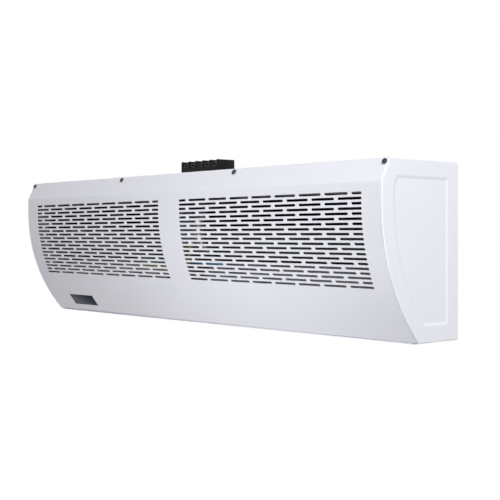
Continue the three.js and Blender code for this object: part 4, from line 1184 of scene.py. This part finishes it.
@dataclass
class Grille:
    """The slots of the front panel.

    Attributes:
        rows: Rows of slots.
        row_pitch: Distance between rows.
        first_row: The kink down to the middle of the first row.
        slot_height: Height of a slot.
        slot_pitch: Distance between slots in a row.
        land: Sheet between two slots of a row.
        pitches: Slots in half a row.
        band: Width of the plain band in the middle.
        end_steps: Points added to a slot's end, which make it round.
    """

    rows: int = 20
    row_pitch: float = 6.64
    first_row: float = 14.0
    slot_height: float = 3.5
    slot_pitch: float = 49.3
    land: float = 6.5
    pitches: int = 8
    band: float = 47.6
    end_steps: int = 5

    @property
    def columns(self) -> list[float]:
        """Lines across x on one side of the middle, half a slot pitch apart."""
        return [self.band / 2 + self.slot_pitch / 2 * i for i in range(2 * self.pitches + 1)]

    def edge(self, row: int) -> float:
        """Distance from the kink down to a row's upper edge."""
        return self.first_row + (row - 0.5) * self.row_pitch

    def punch(self, bm: BMesh, kink: float) -> None:
        """Punch the slots in the flat panel.

        Args:
            bm: The flat panel, ruled along the rows and columns.
            kink: Distance along the panel to its kink.
        """
        top, bottom = kink - self.edge(0), kink - self.edge(self.rows)
        start, end = self.columns[0], self.columns[-1]

        def row_of(y: float) -> int:
            """Count the row that a height lies in."""
            return int((top - y) / self.row_pitch)

        spare = []
        for edge in bm.edges:
            a, b = (vert.co for vert in edge.verts)
            middle = (a + b) / 2
            column = (abs(middle.x) - start) / (self.slot_pitch / 2)
            upright = abs(a.x - b.x) < 1e-3
            if upright and bottom < middle.y < top and 0.5 < column < 2 * self.pitches - 0.5:
                if (round(column) + row_of(middle.y)) % 2 == 0:
                    spare.append(edge)
        bmesh.ops.dissolve_edges(bm, edges=spare, use_verts=False)

        def is_cell(face: BMFace) -> bool:
            """Say whether a face becomes a slot."""
            middle = face.calc_center_bounds()
            return bottom < middle.y < top and start < abs(middle.x) < end

        cells = [face for face in bm.faces if is_cell(face)]
        inset = (self.row_pitch - self.slot_height) / 2
        bmesh.ops.inset_individual(bm, faces=cells, thickness=inset, depth=0, use_even_offset=True)
        ends = [end for cell in cells for end in self._shorten(bm, cell, inset)]
        places = {}
        for edge, side in ends:
            place = edge.verts[0].co
            places[round(place.x, 1), row_of(place.y)] = side
        bmesh.ops.delete(bm, geom=cells, context="FACES")
        bmesh.ops.subdivide_edges(bm, edges=[edge for edge, _ in ends], cuts=self.end_steps)
        radius = self.slot_height / 2
        for vert in bm.verts:
            row = row_of(vert.co.y)
            rise = vert.co.y - (top - (row + 0.5) * self.row_pitch)
            side = places.get((round(vert.co.x, 1), row), 0)
            if side and abs(rise) < radius + 1e-3:
                angle = rise / radius * math.pi / 2
                vert.co.y += radius * math.sin(angle) - rise
                vert.co.x -= side * radius * (1 - math.cos(angle))

    def _shorten(self, bm: BMesh, cell: BMFace, inset: float) -> list[tuple[BMEdge, int]]:
        """Bring one slot to its length.

        Args:
            bm: The flat panel.
            cell: The face that becomes the slot.
            inset: How far it is inset already.

        Returns:
            Its two end edges, each with the direction along x that points out of the slot.
        """
        middle = cell.calc_center_bounds()
        half = max(abs(vert.co.x - middle.x) for vert in cell.verts)
        share = (half - self.land / 2 + inset) / half
        space = Matrix.Translation(-middle)
        bmesh.ops.scale(bm, vec=(share, 1, 1), space=space, verts=list(cell.verts))
        ends = []
        for edge in cell.edges:
            a, b = (vert.co.x for vert in edge.verts)
            if abs(a - b) < 1e-3:
                ends.append((edge, 1 if a > middle.x else -1))
        return ends


@dataclass(frozen=True)
class Press:
    """The form pressed into an end plate.

    Attributes:
        margin: Outline to the middle of the recess's wall.
        wall: Width of that wall, seen from the end.
        depth: How deep the recess lies.
        ease: Radius of the recess's corners.
        rim: Radius of the rounded rim.
        corner: Radius of the outline's corners.
        skin: The sheet's thickness.
        flange: How far the flange reaches behind the outer face.
        flat: Level strip beside a rounding.
        gap: Clearance between the front sheet and the flange.
        inner: Radius of the flange's corners.
        steps: Facets of each rounding.
    """

    margin: float = 24.0
    wall: float = 5.0
    depth: float = 1.15
    ease: float = 3.0
    rim: float = 1.4
    corner: float = 2.0
    skin: float = 1.2
    flange: float = 13.5
    flat: float = 0.6
    gap: float = 0.35
    inner: float = 0.8
    steps: int = 6


@dataclass(frozen=True)
class Shell:
    """The rear casing's sheet.

    Attributes:
        lip: How far its lip reaches down behind the facet.
        lip_gap: The facet's outer face to the lip's.
        lip_radius: Bend between the lip and the top.
        fold: Bends along the back.
        frame_depth: Depth of the outlet frame's rear rail.
        lap: How far the bottom reaches over that rail.
        end_line: A line across the sheet, near each end, that keeps its long faces apart.
        rim: How far its cut edges are eased.
        hooks: Middles of the openings for the wall plate's hooks.
        hook_drop: The top down to such an opening.
        hook_half: Half its length.
        hook_height: Its height.
    """

    lip: float = 13.0
    lip_gap: float = 1.3
    lip_radius: float = 1.6
    fold: float = 2.0
    frame_depth: float = 3.5
    lap: float = 0.3
    end_line: float = 435.0
    rim: float = 0.2
    hooks: tuple[float, ...] = (-260, -120, 120, 260)
    hook_drop: float = 21.8
    hook_half: float = 17.0
    hook_height: float = 18.0


@dataclass
class Housing:
    """The white sheet-metal housing: front panel, casing, end plates, outlet frame, panel screws.

    Attributes:
        sheet: Thickness of the front panel and the casing.
        hem: Width of the front panel's lower hem.
        seam: Clearance at the end plates' returns.
        rim_return: How far an end plate's rim reaches inwards.
        panel_facet: The largest angle of one facet in the front's sweep.
        panel_rim: How far the front panel's cut edges are eased.
        display_reach: The display opening's ends.
        display_height: Its height.
        display_rise: Its middle above the end of the front's sweep.
        display_rule: How far its ruled lines reach above and below it.
        screw_height: Height of a panel screw's head.
    """

    frame: Frame
    section: Section
    grille: Grille = field(default_factory=Grille)
    press: Press = field(default_factory=Press)
    shell: Shell = field(default_factory=Shell)
    sheet: float = 1.0
    hem: float = 4.2
    seam: float = 0.45
    rim_return: float = 3.4
    panel_facet: float = math.radians(1.5)
    panel_rim: float = 0.22
    display_reach: tuple[float, float] = (-378.8, -300.2)
    display_height: float = 23.6
    display_rise: float = 13.0
    display_rule: float = 10.0
    screw_height: float = 2.3

    def build(self) -> None:
        """Build every piece of the housing."""
        self.front_panel()
        self.casing()
        for side in Side:
            self.end_plate(side)
        self.outlet_frame()
        for number in range(1, 5):
            self.panel_screw(f"panel_screw_{number}")

    @property
    def half(self) -> float:
        """Half the housing's length."""
        return self.frame.high("right_end_plate").x

    @property
    def sheet_half(self) -> float:
        """Half the length of the front panel and the casing."""
        return self.half - self.rim_return - self.seam

    @property
    def lean(self) -> float:
        """Angle of the facet from upright."""
        return math.atan2(self.section.depth - self.section.top_depth, self.section.kink_drop)

    def front_panel(self) -> None:
        """Build the perforated front panel, folded from one flat sheet."""
        line = self.section.front(self.hem)
        kink = line.marks[3]
        grille = self.grille
        bm = flat_sheet(-self.sheet_half, self.sheet_half, line.length)
        rows = [kink - grille.edge(row) for row in range(grille.rows + 1)]
        low, high = rows[-1], rows[0]
        stops = line.stations(wide=self.panel_facet)
        bends = [stop for stop in stops if not low - 1 < stop < high + 1]
        rule(bm, 1, [*rows, *bends[1:-1]])

        def in_grille(middle: Vector) -> bool:
            """Say whether a face lies in the rows of slots."""
            return low < middle.y < high

        rule(bm, 0, [side * x for side in (-1, 1) for x in grille.columns], in_grille)
        x0, x1 = self.display_reach
        nose = self.section.nose_radius * self.section.sweep
        arc_end = kink - self.section.straight - nose
        middle = arc_end + self.display_rise
        y0, y1 = middle - self.display_height / 2, middle + self.display_height / 2

        def by_display(middle: Vector) -> bool:
            """Say whether a face lies level with the display."""
            return y0 - self.display_rule < middle.y < y1 + self.display_rule

        rule(bm, 1, (y0, y1))
        rule(bm, 0, (x0, x1), by_display)
        grille.punch(bm, kink)
        window(bm, x0, x1, y0, y1)
        thicken(bm, self.sheet)
        bevel(bm, flat_rims(bm), self.panel_rim, 1)
        fold(bm, line)
        self.frame.add("front_panel_skin", bm, Finishes.WHITE, "front_panel")

    def casing(self) -> None:
        """Build the rear casing: lip, top, back and bottom in one bent sheet."""
        low, high = self.frame.low("rear_casing"), self.frame.high("rear_casing")
        shell, lean = self.shell, self.lean
        corner = -self.section.top_depth + shell.lip_gap / math.cos(lean)
        lip = complex(corner, high.z) + shell.lip * complex(-math.sin(lean), -math.cos(lean))
        bottom_front = self.frame.high("outlet_frame").y - shell.frame_depth + shell.lap
        line = BentLine(
            [
                (lip.real, lip.imag, 0),
                (corner, high.z, shell.lip_radius),
                (high.y, high.z, shell.fold),
                (high.y, low.z, shell.fold),
                (bottom_front, low.z, 0),
            ]
        )
        columns = [-shell.end_line, shell.end_line]
        top = line.marks[2] + (high.z - shell.hook_drop)
        bottom = top + shell.hook_height
        openings = [(x - shell.hook_half, x + shell.hook_half, top, bottom) for x in shell.hooks]
        half = self.sheet_half
        bm = bent_sheet(line, -half, half, self.sheet, columns, openings, shell.rim)
        self.frame.add("rear_casing_skin", bm, Finishes.WHITE, "rear_casing")

    def end_plate(self, side: Side) -> None:
        """Build one end plate, pressed from sheet: recess, rounded rim and inward flange.

        Args:
            side: The end that it closes.
        """
        press, flat = self.press, self.press.flat
        floor, brim = press.margin + press.wall / 2, press.margin - press.wall / 2
        profile = [(floor + flat, press.depth, press.ease)]
        for step in range(press.steps + 1):
            share = step / press.steps
            fall = press.depth * (1 - share * share * (3 - 2 * share))
            profile.append((floor - press.wall * share, fall, press.ease))
        profile += [(brim - flat, 0, press.ease), (press.rim + flat, 0, press.ease)]
        for step in range(press.steps + 1):
            angle = math.pi / 2 * step / press.steps
            inset = press.rim * (1 - math.sin(angle))
            profile.append((inset, press.rim * (1 - math.cos(angle)), press.corner - inset))
        under, skin, ease = self.sheet + press.gap, press.skin, press.inner
        profile += [(0, self.rim_return, press.corner), (under, self.rim_return, ease)]
        profile += [(under, press.flange, ease), (under + skin, press.flange, ease)]
        profile += [(under + skin, press.rim, ease), (press.rim + skin, skin, ease)]
        profile += [(brim - skin, skin, press.ease), (floor - skin, press.depth + skin, press.ease)]
        rings = []
        for inset, fall, corner in profile:
            rings.append((side.sign * (self.half - fall), self.section.ring(inset, corner)))
        node = side.node("end_plate")
        self.frame.add(f"{node}_skin", loft(rings), Finishes.WHITE, node)

    def outlet_frame(self) -> None:
        """Build the outlet frame with its lip, its edges eased."""
        self.frame.eased("outlet_frame", Finishes.WHITE, 0.35, 2)

    def panel_screw(self, node: str) -> None:
        """Build one slotted pan-head screw, square to the facet.

        Args:
            node: The CAD node that it stands for.
        """
        out = Vector((0, -math.cos(self.lean), math.sin(self.lean)))
        low, high = self.frame.low(node), self.frame.high(node)
        radius = (high.x - low.x) / 2
        screw = SlottedScrew(
            radius, self.screw_height, shank=2.0, length=9.0, slot=1.1, slot_depth=1.1
        )
        tip = Vector((low.x + screw.radius, low.y + screw.radius * abs(out.z), 0))
        tip.z = high.z - screw.radius * abs(out.y)
        bm = screw.build()
        aim(bm, tip - screw.height * out, out)
        self.frame.add(f"{node}_skin", bm, Finishes.SCREW, node)


@dataclass
class TerminalBlock:
    """The five-pole terminal block on top, with its clamps.

    Attributes:
        poles: Terminals side by side.
        head_radius: Radius of a clamp screw's head.
        head_height: Its height.
        screw_inset: A terminal's end to the middle of its screw.
        wall: Wall round a wire entry.
        bore: Depth of a wire entry.
        ease: How far a terminal's edges are eased.
    """

    frame: Frame
    poles: int = 5
    head_radius: float = 3.4
    head_height: float = 2.6
    screw_inset: float = 7.0
    wall: float = 1.0
    bore: float = 5.0
    ease: float = 0.3

    def build(self) -> None:
        """Build the base and the terminals."""
        self.base()
        for pole in range(1, self.poles + 1):
            self.terminal(f"terminal_{pole}")

    def base(self) -> None:
        """Build the black base: a slab with six barriers."""
        self.frame.eased("terminal_block_base", Finishes.BLACK, 0.5, 2)

    def terminal(self, node: str) -> None:
        """Build one clamp bar with its wire entries and its two screws.

        Args:
            node: The CAD node that it stands for.
        """
        low, high = self.frame.low(node), self.frame.high(node)
        middle = (low.x + high.x) / 2
        top = high.z - self.head_height
        bm = bmesh.new()
        add_box(bm, low, (high.x, high.y, top))
        for way in (-1, 1):
            face = next(face for face in bm.faces if face.normal.y * way > 0.9)
            bmesh.ops.inset_individual(bm, faces=[face], thickness=self.wall, use_even_offset=True)
            bored = bmesh.ops.extrude_discrete_faces(bm, faces=[face])["faces"]
            verts = [vert for face in bored for vert in face.verts]
            bmesh.ops.translate(bm, vec=(0, -way * self.bore, 0), verts=verts)
        bevel(bm, sharp_edges(bm), self.ease, 2)
        screw = SlottedScrew(
            self.head_radius, self.head_height, shank=1.5, length=1.0, slot=1.1, slot_depth=1.2
        )
        for y in (low.y + self.screw_inset, high.y - self.screw_inset):
            head = screw.build()
            aim(head, Vector((middle, y, top)), Vector((0, 0, 1)))
            add_to(bm, head)
        self.frame.add(f"{node}_skin", bm, Finishes.CLAMP, node)


# Profiles of the fan's turned pieces, as (radius, distance from the piece's inner end).
CUP = [(8.3, 0), (12.2, 0), (12.7, 0.5), (12.7, 3.9), (16.4, 3.9), (17, 4.5), (17, 6.3)]
CUP += [(16.4, 6.9), (12.7, 6.9), (12.7, 11.5), (12.2, 12), (8.3, 12)]
BELL = [(4.3, 13), (28.8, 10.6), (37, 8), (37, 0), (40, 0), (40, 8), (39.3, 10), (37, 11.8)]
BELL += [(31.2, 13.6), (12.8, 16), (12, 16.8), (12, 22), (11.5, 22.5), (4.3, 22.5)]
SHAFT = [(0, 0), (3.6, 0), (4, 0.4), (4, 45), (21.3, 45), (21.8, 45.5), (21.8, 78.5)]
SHAFT += [(21.3, 79), (4, 79), (4, 123.6), (3.6, 124), (0, 124)]


@dataclass
class Fan:
    """The rotor's two impellers, its shaft and axles, and what they run in.

    Attributes:
        blades: Blades of one impeller.
        rings: Stiffening rings between an impeller's end discs.
        disc: Thickness of a disc or ring.
        ring_width: Width of a ring.
        hub: Outer radius and length of a hub.
        bore: Radius of a hub's bore.
        chord: Chord of a blade.
        lean: Angle of a blade's chord from the radius.
        bow: How far a blade is arched.
        blade_sheet: Thickness of a blade.
        blade_points: Points along each side of a blade.
        blade_inset: The impeller's radius to the blades' outer edges.
        fillet: Size of the cone between a disc and its hub.
        ease: How far turned edges are eased.
        axle: Radius and length of a stub axle.
        bush: Inner radius, outer radius and length of a bearing bush.
        motor_ring: The same of a motor ring.
        core: The same of the motor's core.
        ring_ease: How far a motor ring's edges are eased.
    """

    frame: Frame
    blades: int = 36
    rings: int = 2
    disc: float = 2.5
    ring_width: float = 12.0
    hub: tuple[float, float] = (10.0, 17.2)
    bore: float = 4.3
    chord: float = 10.0
    lean: float = math.radians(28)
    bow: float = 1.6
    blade_sheet: float = 1.0
    blade_points: int = 7
    blade_inset: float = 0.6
    fillet: float = 2.0
    ease: float = 0.4
    axle: tuple[float, float] = (4.0, 27.0)
    bush: tuple[float, float, float] = (4.3, 8.0, 10.0)
    motor_ring: tuple[float, float, float] = (12.3, 18.3, 5.0)
    core: tuple[float, float, float] = (22.6, 40.0, 40.0)
    ring_ease: float = 0.8

    @property
    def centre(self) -> tuple[float, float]:
        """The fan's axis, as y and z."""
        middle = self.frame.middle("left_impeller")
        return middle.y, middle.z

    def build(self) -> None:
        """Build everything that lies round the fan's axis."""
        bush, core = self.sleeve(*self.bush, self.ease), self.sleeve(*self.core, self.ease)
        ring = self.sleeve(*self.motor_ring, self.ring_ease)
        for side in Side:
            self.impeller(side)
            self.round_piece(side.node("stub_axle"), side, Finishes.STEEL, self.bar(*self.axle))
            self.round_piece(side.node("bearing_bush"), side, Finishes.BRASS, bush)
            self.round_piece(side.node("motor_ring"), side, Finishes.RUBBER, ring)
            self.round_piece(side.node("bearing_cup"), side, Finishes.RUBBER, CUP)
            self.round_piece(side.node("motor_bell"), side, Finishes.ALUMINIUM, BELL)
        self.round_piece("motor_core", Side.RIGHT, Finishes.LAMINATIONS, core)
        self.round_piece("rotor_shaft", Side.RIGHT, Finishes.STEEL, SHAFT)

    def bar(self, radius: float, length: float) -> Profile:
        """Give the profile of a round bar with eased ends.

        Args:
            radius: The bar's radius.
            length: Its length.

        Returns:
            The profile.
        """
        ease = self.ease
        start = [(0, 0), (radius - ease, 0), (radius, ease)]
        return [*start, (radius, length - ease), (radius - ease, length), (0, length)]

    @staticmethod
    def sleeve(inner: float, outer: float, length: float, ease: float) -> Profile:
        """Give the profile of a sleeve with eased outer edges."""
        start = [(inner, 0), (outer - ease, 0), (outer, ease)]
        return [*start, (outer, length - ease), (outer - ease, length), (inner, length)]

    def round_piece(self, node: str, side: Side, finish: Finish, profile: Profile) -> None:
        """Set a piece turned about the fan's axis.

        Args:
            node: The CAD node that it stands for.
            side: The end that the profile runs towards.
            finish: Its finish.
            profile: (radius, distance) points, the distance counted from the piece's inner end.
        """
        start = self.frame.low(node).x if side is Side.RIGHT else self.frame.high(node).x
        points = [(radius, start + side.sign * away) for radius, away in profile]
        self.frame.add(f"{node}_skin", turned(points, self.centre), finish, node)

    def impeller(self, side: Side) -> None:
        """Build one impeller: end discs with hubs, rings and arched blades.

        Args:
            side: The end that it lies towards.
        """
        node = side.node("impeller")
        start, end = self.frame.low(node).x, self.frame.high(node).x
        radius = (self.frame.high(node).z - self.frame.low(node).z) / 2
        (hub, reach), disc, ease = self.hub, self.disc, self.ease
        profile = [(self.bore, 0), (radius - ease, 0), (radius, ease), (radius, disc - ease)]
        profile += [(radius - ease, disc), (hub + self.fillet, disc), (hub, disc + self.fillet)]
        profile += [(hub, reach), (self.bore, reach)]
        bm = bmesh.new()
        for face, way in ((start, 1), (end, -1)):
            add_to(bm, turned([(r, face + way * away) for r, away in profile], (0, 0)))
        step = (end - start - disc) / (self.rings + 1)
        rim = radius - self.ring_width
        for i in range(1, self.rings + 1):
            x = start + step * i
            ring = [(rim, x), (radius, x), (radius, x + disc), (rim, x + disc)]
            add_to(bm, turned(ring, (0, 0)))
        outline = self.blade(radius)
        blade = loft([(start + disc / 2, outline), (end - disc / 2, outline)])
        bmesh.ops.spin(
            blade,
            geom=[*blade.verts, *blade.edges, *blade.faces],
            cent=(0, 0, 0),
            axis=(1, 0, 0),
            angle=math.tau * (self.blades - 1) / self.blades,
            steps=self.blades - 1,
            use_merge=False,
            use_duplicate=True,
        )
        add_to(bm, blade)
        bmesh.ops.translate(bm, vec=(0, *self.centre), verts=bm.verts)
        self.frame.add(f"{node}_skin", bm, Finishes.IMPELLER, node)

    def blade(self, radius: float) -> list[complex]:
        """Give the outline of one arched blade at the top of the impeller.

        Args:
            radius: The impeller's radius.

        Returns:
            The outline's points.
        """
        outer = complex(0, radius - self.blade_inset)
        along = cmath.rect(1, -math.pi / 2 + self.lean)
        sides = []
        for lift in (0, self.blade_sheet):
            side = []
            for i in range(self.blade_points):
                share = i / (self.blade_points - 1)
                arch = self.bow * 4 * share * (1 - share) + lift
                side.append(outer + along * self.chord * share + along * 1j * arch)
            sides.append(side)
        return sides[0] + sides[1][::-1]


@dataclass(frozen=True)
class Vane:
    """An outlet vane: a blade, a pin at each end and a crank.

    Attributes:
        left: Length of the left pin outside the blade.
        right: The same on the right, with room for the crank.
        half: Half the blade's thickness.
        sides: Sides of the blade's section.
        rim: How far the edges of its ends are eased.
        pin: Radius of the end pins.
        root: How far an end pin reaches into the blade.
        crank: The vane's axis to its crank pin.
        boss: Radius of the crank's boss.
        boss_root: How far the boss reaches into the blade.
        boss_reach: How far it stands out.
        crank_pin: Radius of the crank pin.
        crank_reach: How far that pin stands out.
    """

    left: float = 4.5
    right: float = 8.5
    half: float = 0.8
    sides: int = 32
    rim: float = 0.15
    pin: float = 1.5
    root: float = 1.0
    crank: float = 5.5
    boss: float = 1.8
    boss_root: float = 3.0
    boss_reach: float = 1.2
    crank_pin: float = 1.0
    crank_reach: float = 4.2


@dataclass
class Insides:
    """The other pieces behind the grille and at the outlet.

    Attributes:
        tube: Width of a heater's tube.
        tube_ease: How far its edges are eased.
        fins: Fins of one heater.
        fin: Thickness of a fin.
        fin_inset: How far the fins end inside the tubes' ends.
    """

    frame: Frame
    form: Vane = field(default_factory=Vane)
    tube: float = 5.0
    tube_ease: float = 0.6
    fins: int = 96
    fin: float = 0.3
    fin_inset: float = 1.0

    def build(self) -> None:
        """Dress the inner pieces."""
        sheets = ["wall_plate", "motor_cradle"]
        parts = ("scroll", "tongue", "fan_side_plate", "partition")
        for side in Side:
            sheets += [side.node(part) for part in parts]
            self.heater(side)
            self.frame.eased(side.node("heater_inner_cap"), Finishes.CERAMIC, 0.4)
            self.frame.eased(side.node("heater_outer_cap"), Finishes.CERAMIC, 0.4)
        for node in sheets:
            self.frame.eased(node, Finishes.ZINC, 0.15, 1)
        self.frame.eased("transformer", Finishes.LAMINATIONS, 0.3)
        self.frame.eased("thermal_cutout", Finishes.BLACK, 0.3)
        self.frame.eased("reset_button", Finishes.RED, 0.5, 3)
        self.frame.eased("display_bezel", Finishes.BLACK, 0.2)
        self.frame.eased("display_board", Finishes.BOARD, 0.1, 1)
        self.frame.eased("control_board", Finishes.BOARD, 0.2, 1)
        self.frame.eased("run_capacitor", Finishes.BLACK, 0.6, 3)
        self.vane("front_vane")
        self.vane("rear_vane")
        self.frame.eased("vane_link", Finishes.BLACK, 0.3)
        self.frame.eased("yellow_lead", Finishes.YELLOW, 0, sharp=CUT)
        self.frame.eased("blue_lead", Finishes.BLUE, 0, sharp=CUT)
        lens = Lens(
            "display_lens", "display", linear(27, 31, 46), roughness=0.3,
            grain=3, grain_depth=0.002, clouds=0.05, cloud_size=20, specular=0.05,
            middle=tuple(self.frame.middle("display_window")),
        )
        self.frame.eased("display_window", lens, 0.2)

    def heater(self, side: Side) -> None:
        """Build one heater: three tubes and the fins between them.

        Args:
            side: The end that it lies towards.
        """
        node = side.node("heater")
        low, high = self.frame.low(node), self.frame.high(node)
        bm = bmesh.new()
        for share in (0, 0.5, 1):
            y = low.y + (high.y - low.y - self.tube) * share
            add_box(bm, (low.x, y, low.z), (high.x, y + self.tube, high.z))
        bevel(bm, sharp_edges(bm), self.tube_ease, 2)
        half, inset, short = self.fin / 2, self.tube / 2, self.fin_inset
        for i in range(self.fins):
            x = low.x + (high.x - low.x) * (i + 1) / (self.fins + 1)
            corner = (x + half, high.y - inset, high.z - short)
            add_box(bm, (x - half, low.y + inset, low.z + short), corner)
        self.frame.add(f"{node}_skin", bm, Finishes.ALUMINIUM, node)

    def vane(self, node: str) -> None:
        """Build one outlet vane: a lens-shaped blade with its pins and its crank.

        Args:
            node: The CAD node that it stands for.
        """
        low, high, form = self.frame.low(node), self.frame.high(node), self.form
        y, wide = (low.y + high.y) / 2, (high.z - low.z) / 2
        z = low.z + wide
        start, end = low.x + form.left, high.x - form.right
        angles = [math.tau * i / form.sides for i in range(form.sides)]
        outline = [complex(y + form.half * math.sin(a), z + wide * math.cos(a)) for a in angles]
        bm = loft([(start, outline), (end, outline)])
        bevel(bm, sharp_edges(bm, CUT), form.rim, 1)
        axis, crank = (y, z), (y, z + form.crank)
        add_to(bm, pin(form.pin, low.x, start + form.root, axis))
        add_to(bm, pin(form.pin, high.x, end - form.root, axis))
        add_to(bm, pin(form.boss, end - form.boss_root, end + form.boss_reach, crank))
        add_to(bm, pin(form.crank_pin, end, end + form.crank_reach, crank))
        self.frame.add(f"{node}_skin", bm, Finishes.WHITE, node)


# --------------------------------------------------------------------------------------------------
# Studio
# --------------------------------------------------------------------------------------------------


# The lamps: name, place in metres, side in metres, power in watts.
LAMPS = (
    ("side", (2.4, -0.5, 0.9), 1.2, 22.3),
    ("top", (0.2, -0.8, 2.2), 1.6, 7.5),
    ("key", (1.8, -1.4, 1.5), 1.2, 41),
    ("low", (0.3, -0.75, -0.35), 0.3, 1.4),
    ("near", (0.15, -0.5, -0.3), 0.25, 0.55),
    ("back", (-0.6, 2.2, 0.8), 1.6, 28),
    ("left", (-2.4, 0.8, 0.5), 1.2, 24),
)


@dataclass
class Studio:
    """Camera, lamps, floor and white surroundings.

    Attributes:
        camera_place: Where the camera stands, in metres.
        heading: How far it is turned from looking along +Y.
        focal_pixels: Focal length in the photograph's pixels.
        horizon: The horizon's row in the photograph.
        image: Side of the photograph, in pixels.
        sensor: Width of the camera's sensor, in millimetres.
        floor_level: Level of the floor, in metres.
        floor_half: Half the floor's side, in metres.
        floor_clouds: Width of the floor's drifts of tone, in millimetres.
        floor_tones: Its darkest and palest tone.
        floor_glow: How bright it looks from the camera.
        world_level: Strength of the surroundings' light on the object.
    """

    camera_place: Place = (1.31879, -1.12380, 0.02028)
    heading: float = math.radians(49.11)
    focal_pixels: float = 1032.73
    horizon: float = 235.83
    image: float = 500.0
    sensor: float = 36.0
    floor_level: float = -2.4
    floor_half: float = 6.0
    floor_clouds: float = 400.0
    floor_tones: tuple[float, float] = (0.84, 0.88)
    floor_glow: float = 0.97
    world_level: float = 0.14

    def build(self) -> None:
        """Build the whole studio."""
        scene = bpy.context.scene
        scene.view_settings.view_transform = "Standard"
        self.camera()
        self.world()
        self.floor()
        for name, place, size, power in LAMPS:
            self.lamp(name, place, size, power)

    def camera(self) -> None:
        """Place the camera that the photograph was taken with."""
        data = bpy.data.cameras.new("camera")
        data.sensor_width = self.sensor
        data.lens = self.focal_pixels * self.sensor / self.image
        data.shift_y = (self.horizon - self.image / 2) / self.image
        camera = bpy.data.objects.new("camera", data)
        camera.location = self.camera_place
        camera.rotation_euler = (math.pi / 2, 0, self.heading)
        bpy.context.scene.collection.objects.link(camera)
        bpy.context.scene.camera = camera

    def seen(self, graph: Graph) -> Signal:
        """Tell the rays that the camera sees, straight, by gloss or through glass.

        Args:
            graph: The graph that asks.

        Returns:
            1 for such a ray and 0 for any other.
        """
        return (
            graph.node("ShaderNodeLightPath", output="Is Camera Ray")
            .larger(graph.node("ShaderNodeLightPath", output="Is Glossy Ray"))
            .larger(graph.node("ShaderNodeLightPath", output="Is Transmission Ray"))
        )

    def world(self) -> None:
        """Make the surroundings white to the camera and plain soft light to the object."""
        world = bpy.data.worlds.new("studio")
        bpy.context.scene.world = world
        graph = Graph(world)
        strength = self.world_level + (1 - self.world_level) * self.seen(graph)
        values = {"Color": (1, 1, 1, 1), "Strength": strength}
        graph.surface(graph.node("ShaderNodeBackground", values=values), "ShaderNodeOutputWorld")

    def floor(self) -> None:
        """Lay a pale floor that keeps the object's shadow."""
        bm = bmesh.new()
        place = Matrix.Translation((0, 0, self.floor_level))
        bmesh.ops.create_grid(bm, x_segments=1, y_segments=1, size=self.floor_half, matrix=place)
        mesh = bpy.data.meshes.new("floor")
        bm.to_mesh(mesh)
        bm.free()
        floor = bpy.data.objects.new("floor", mesh)
        bpy.context.scene.collection.objects.link(floor)
        material = bpy.data.materials.new("floor")
        graph = Graph(material)
        dark, light = ((tone,) * 3 for tone in self.floor_tones)
        pale = graph.blend(graph.noise(self.floor_clouds), dark, light)
        lit = graph.node("ShaderNodeBsdfDiffuse", values={"Color": pale})
        values = {"Color": (1, 1, 1, 1), "Strength": self.floor_glow * self.seen(graph)}
        glow = graph.node("ShaderNodeEmission", values=values)
        graph.surface(graph.node("ShaderNodeAddShader", values={0: lit, 1: glow}))
        mesh.materials.append(material)
        floor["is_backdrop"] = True

    def lamp(self, name: str, place: Place, size: float, power: float) -> None:
        """Hang a square soft light that faces the object.

        Args:
            name: The lamp's name.
            place: Where it hangs, in metres.
            size: Its side, in metres.
            power: Its power, in watts.
        """
        data = bpy.data.lights.new(name, "AREA")
        data.size = size
        data.energy = power
        lamp = bpy.data.objects.new(name, data)
        lamp.location = place
        lamp.rotation_euler = (-Vector(place)).to_track_quat("-Z", "Y").to_euler()
        bpy.context.scene.collection.objects.link(lamp)


def main() -> None:
    """Build the dressed air curtain around its frame."""
    logging.basicConfig(level=logging.INFO, format="%(name)s: %(message)s")
    frame = Frame()
    depth = -frame.low("right_end_plate").y
    section = Section(depth, depth - FACET_RUN, frame.high("right_end_plate").z)
    Housing(frame, section).build()
    TerminalBlock(frame).build()
    Fan(frame).build()
    Insides(frame).build()
    Studio().build()


if __name__ == "__main__":
    main()
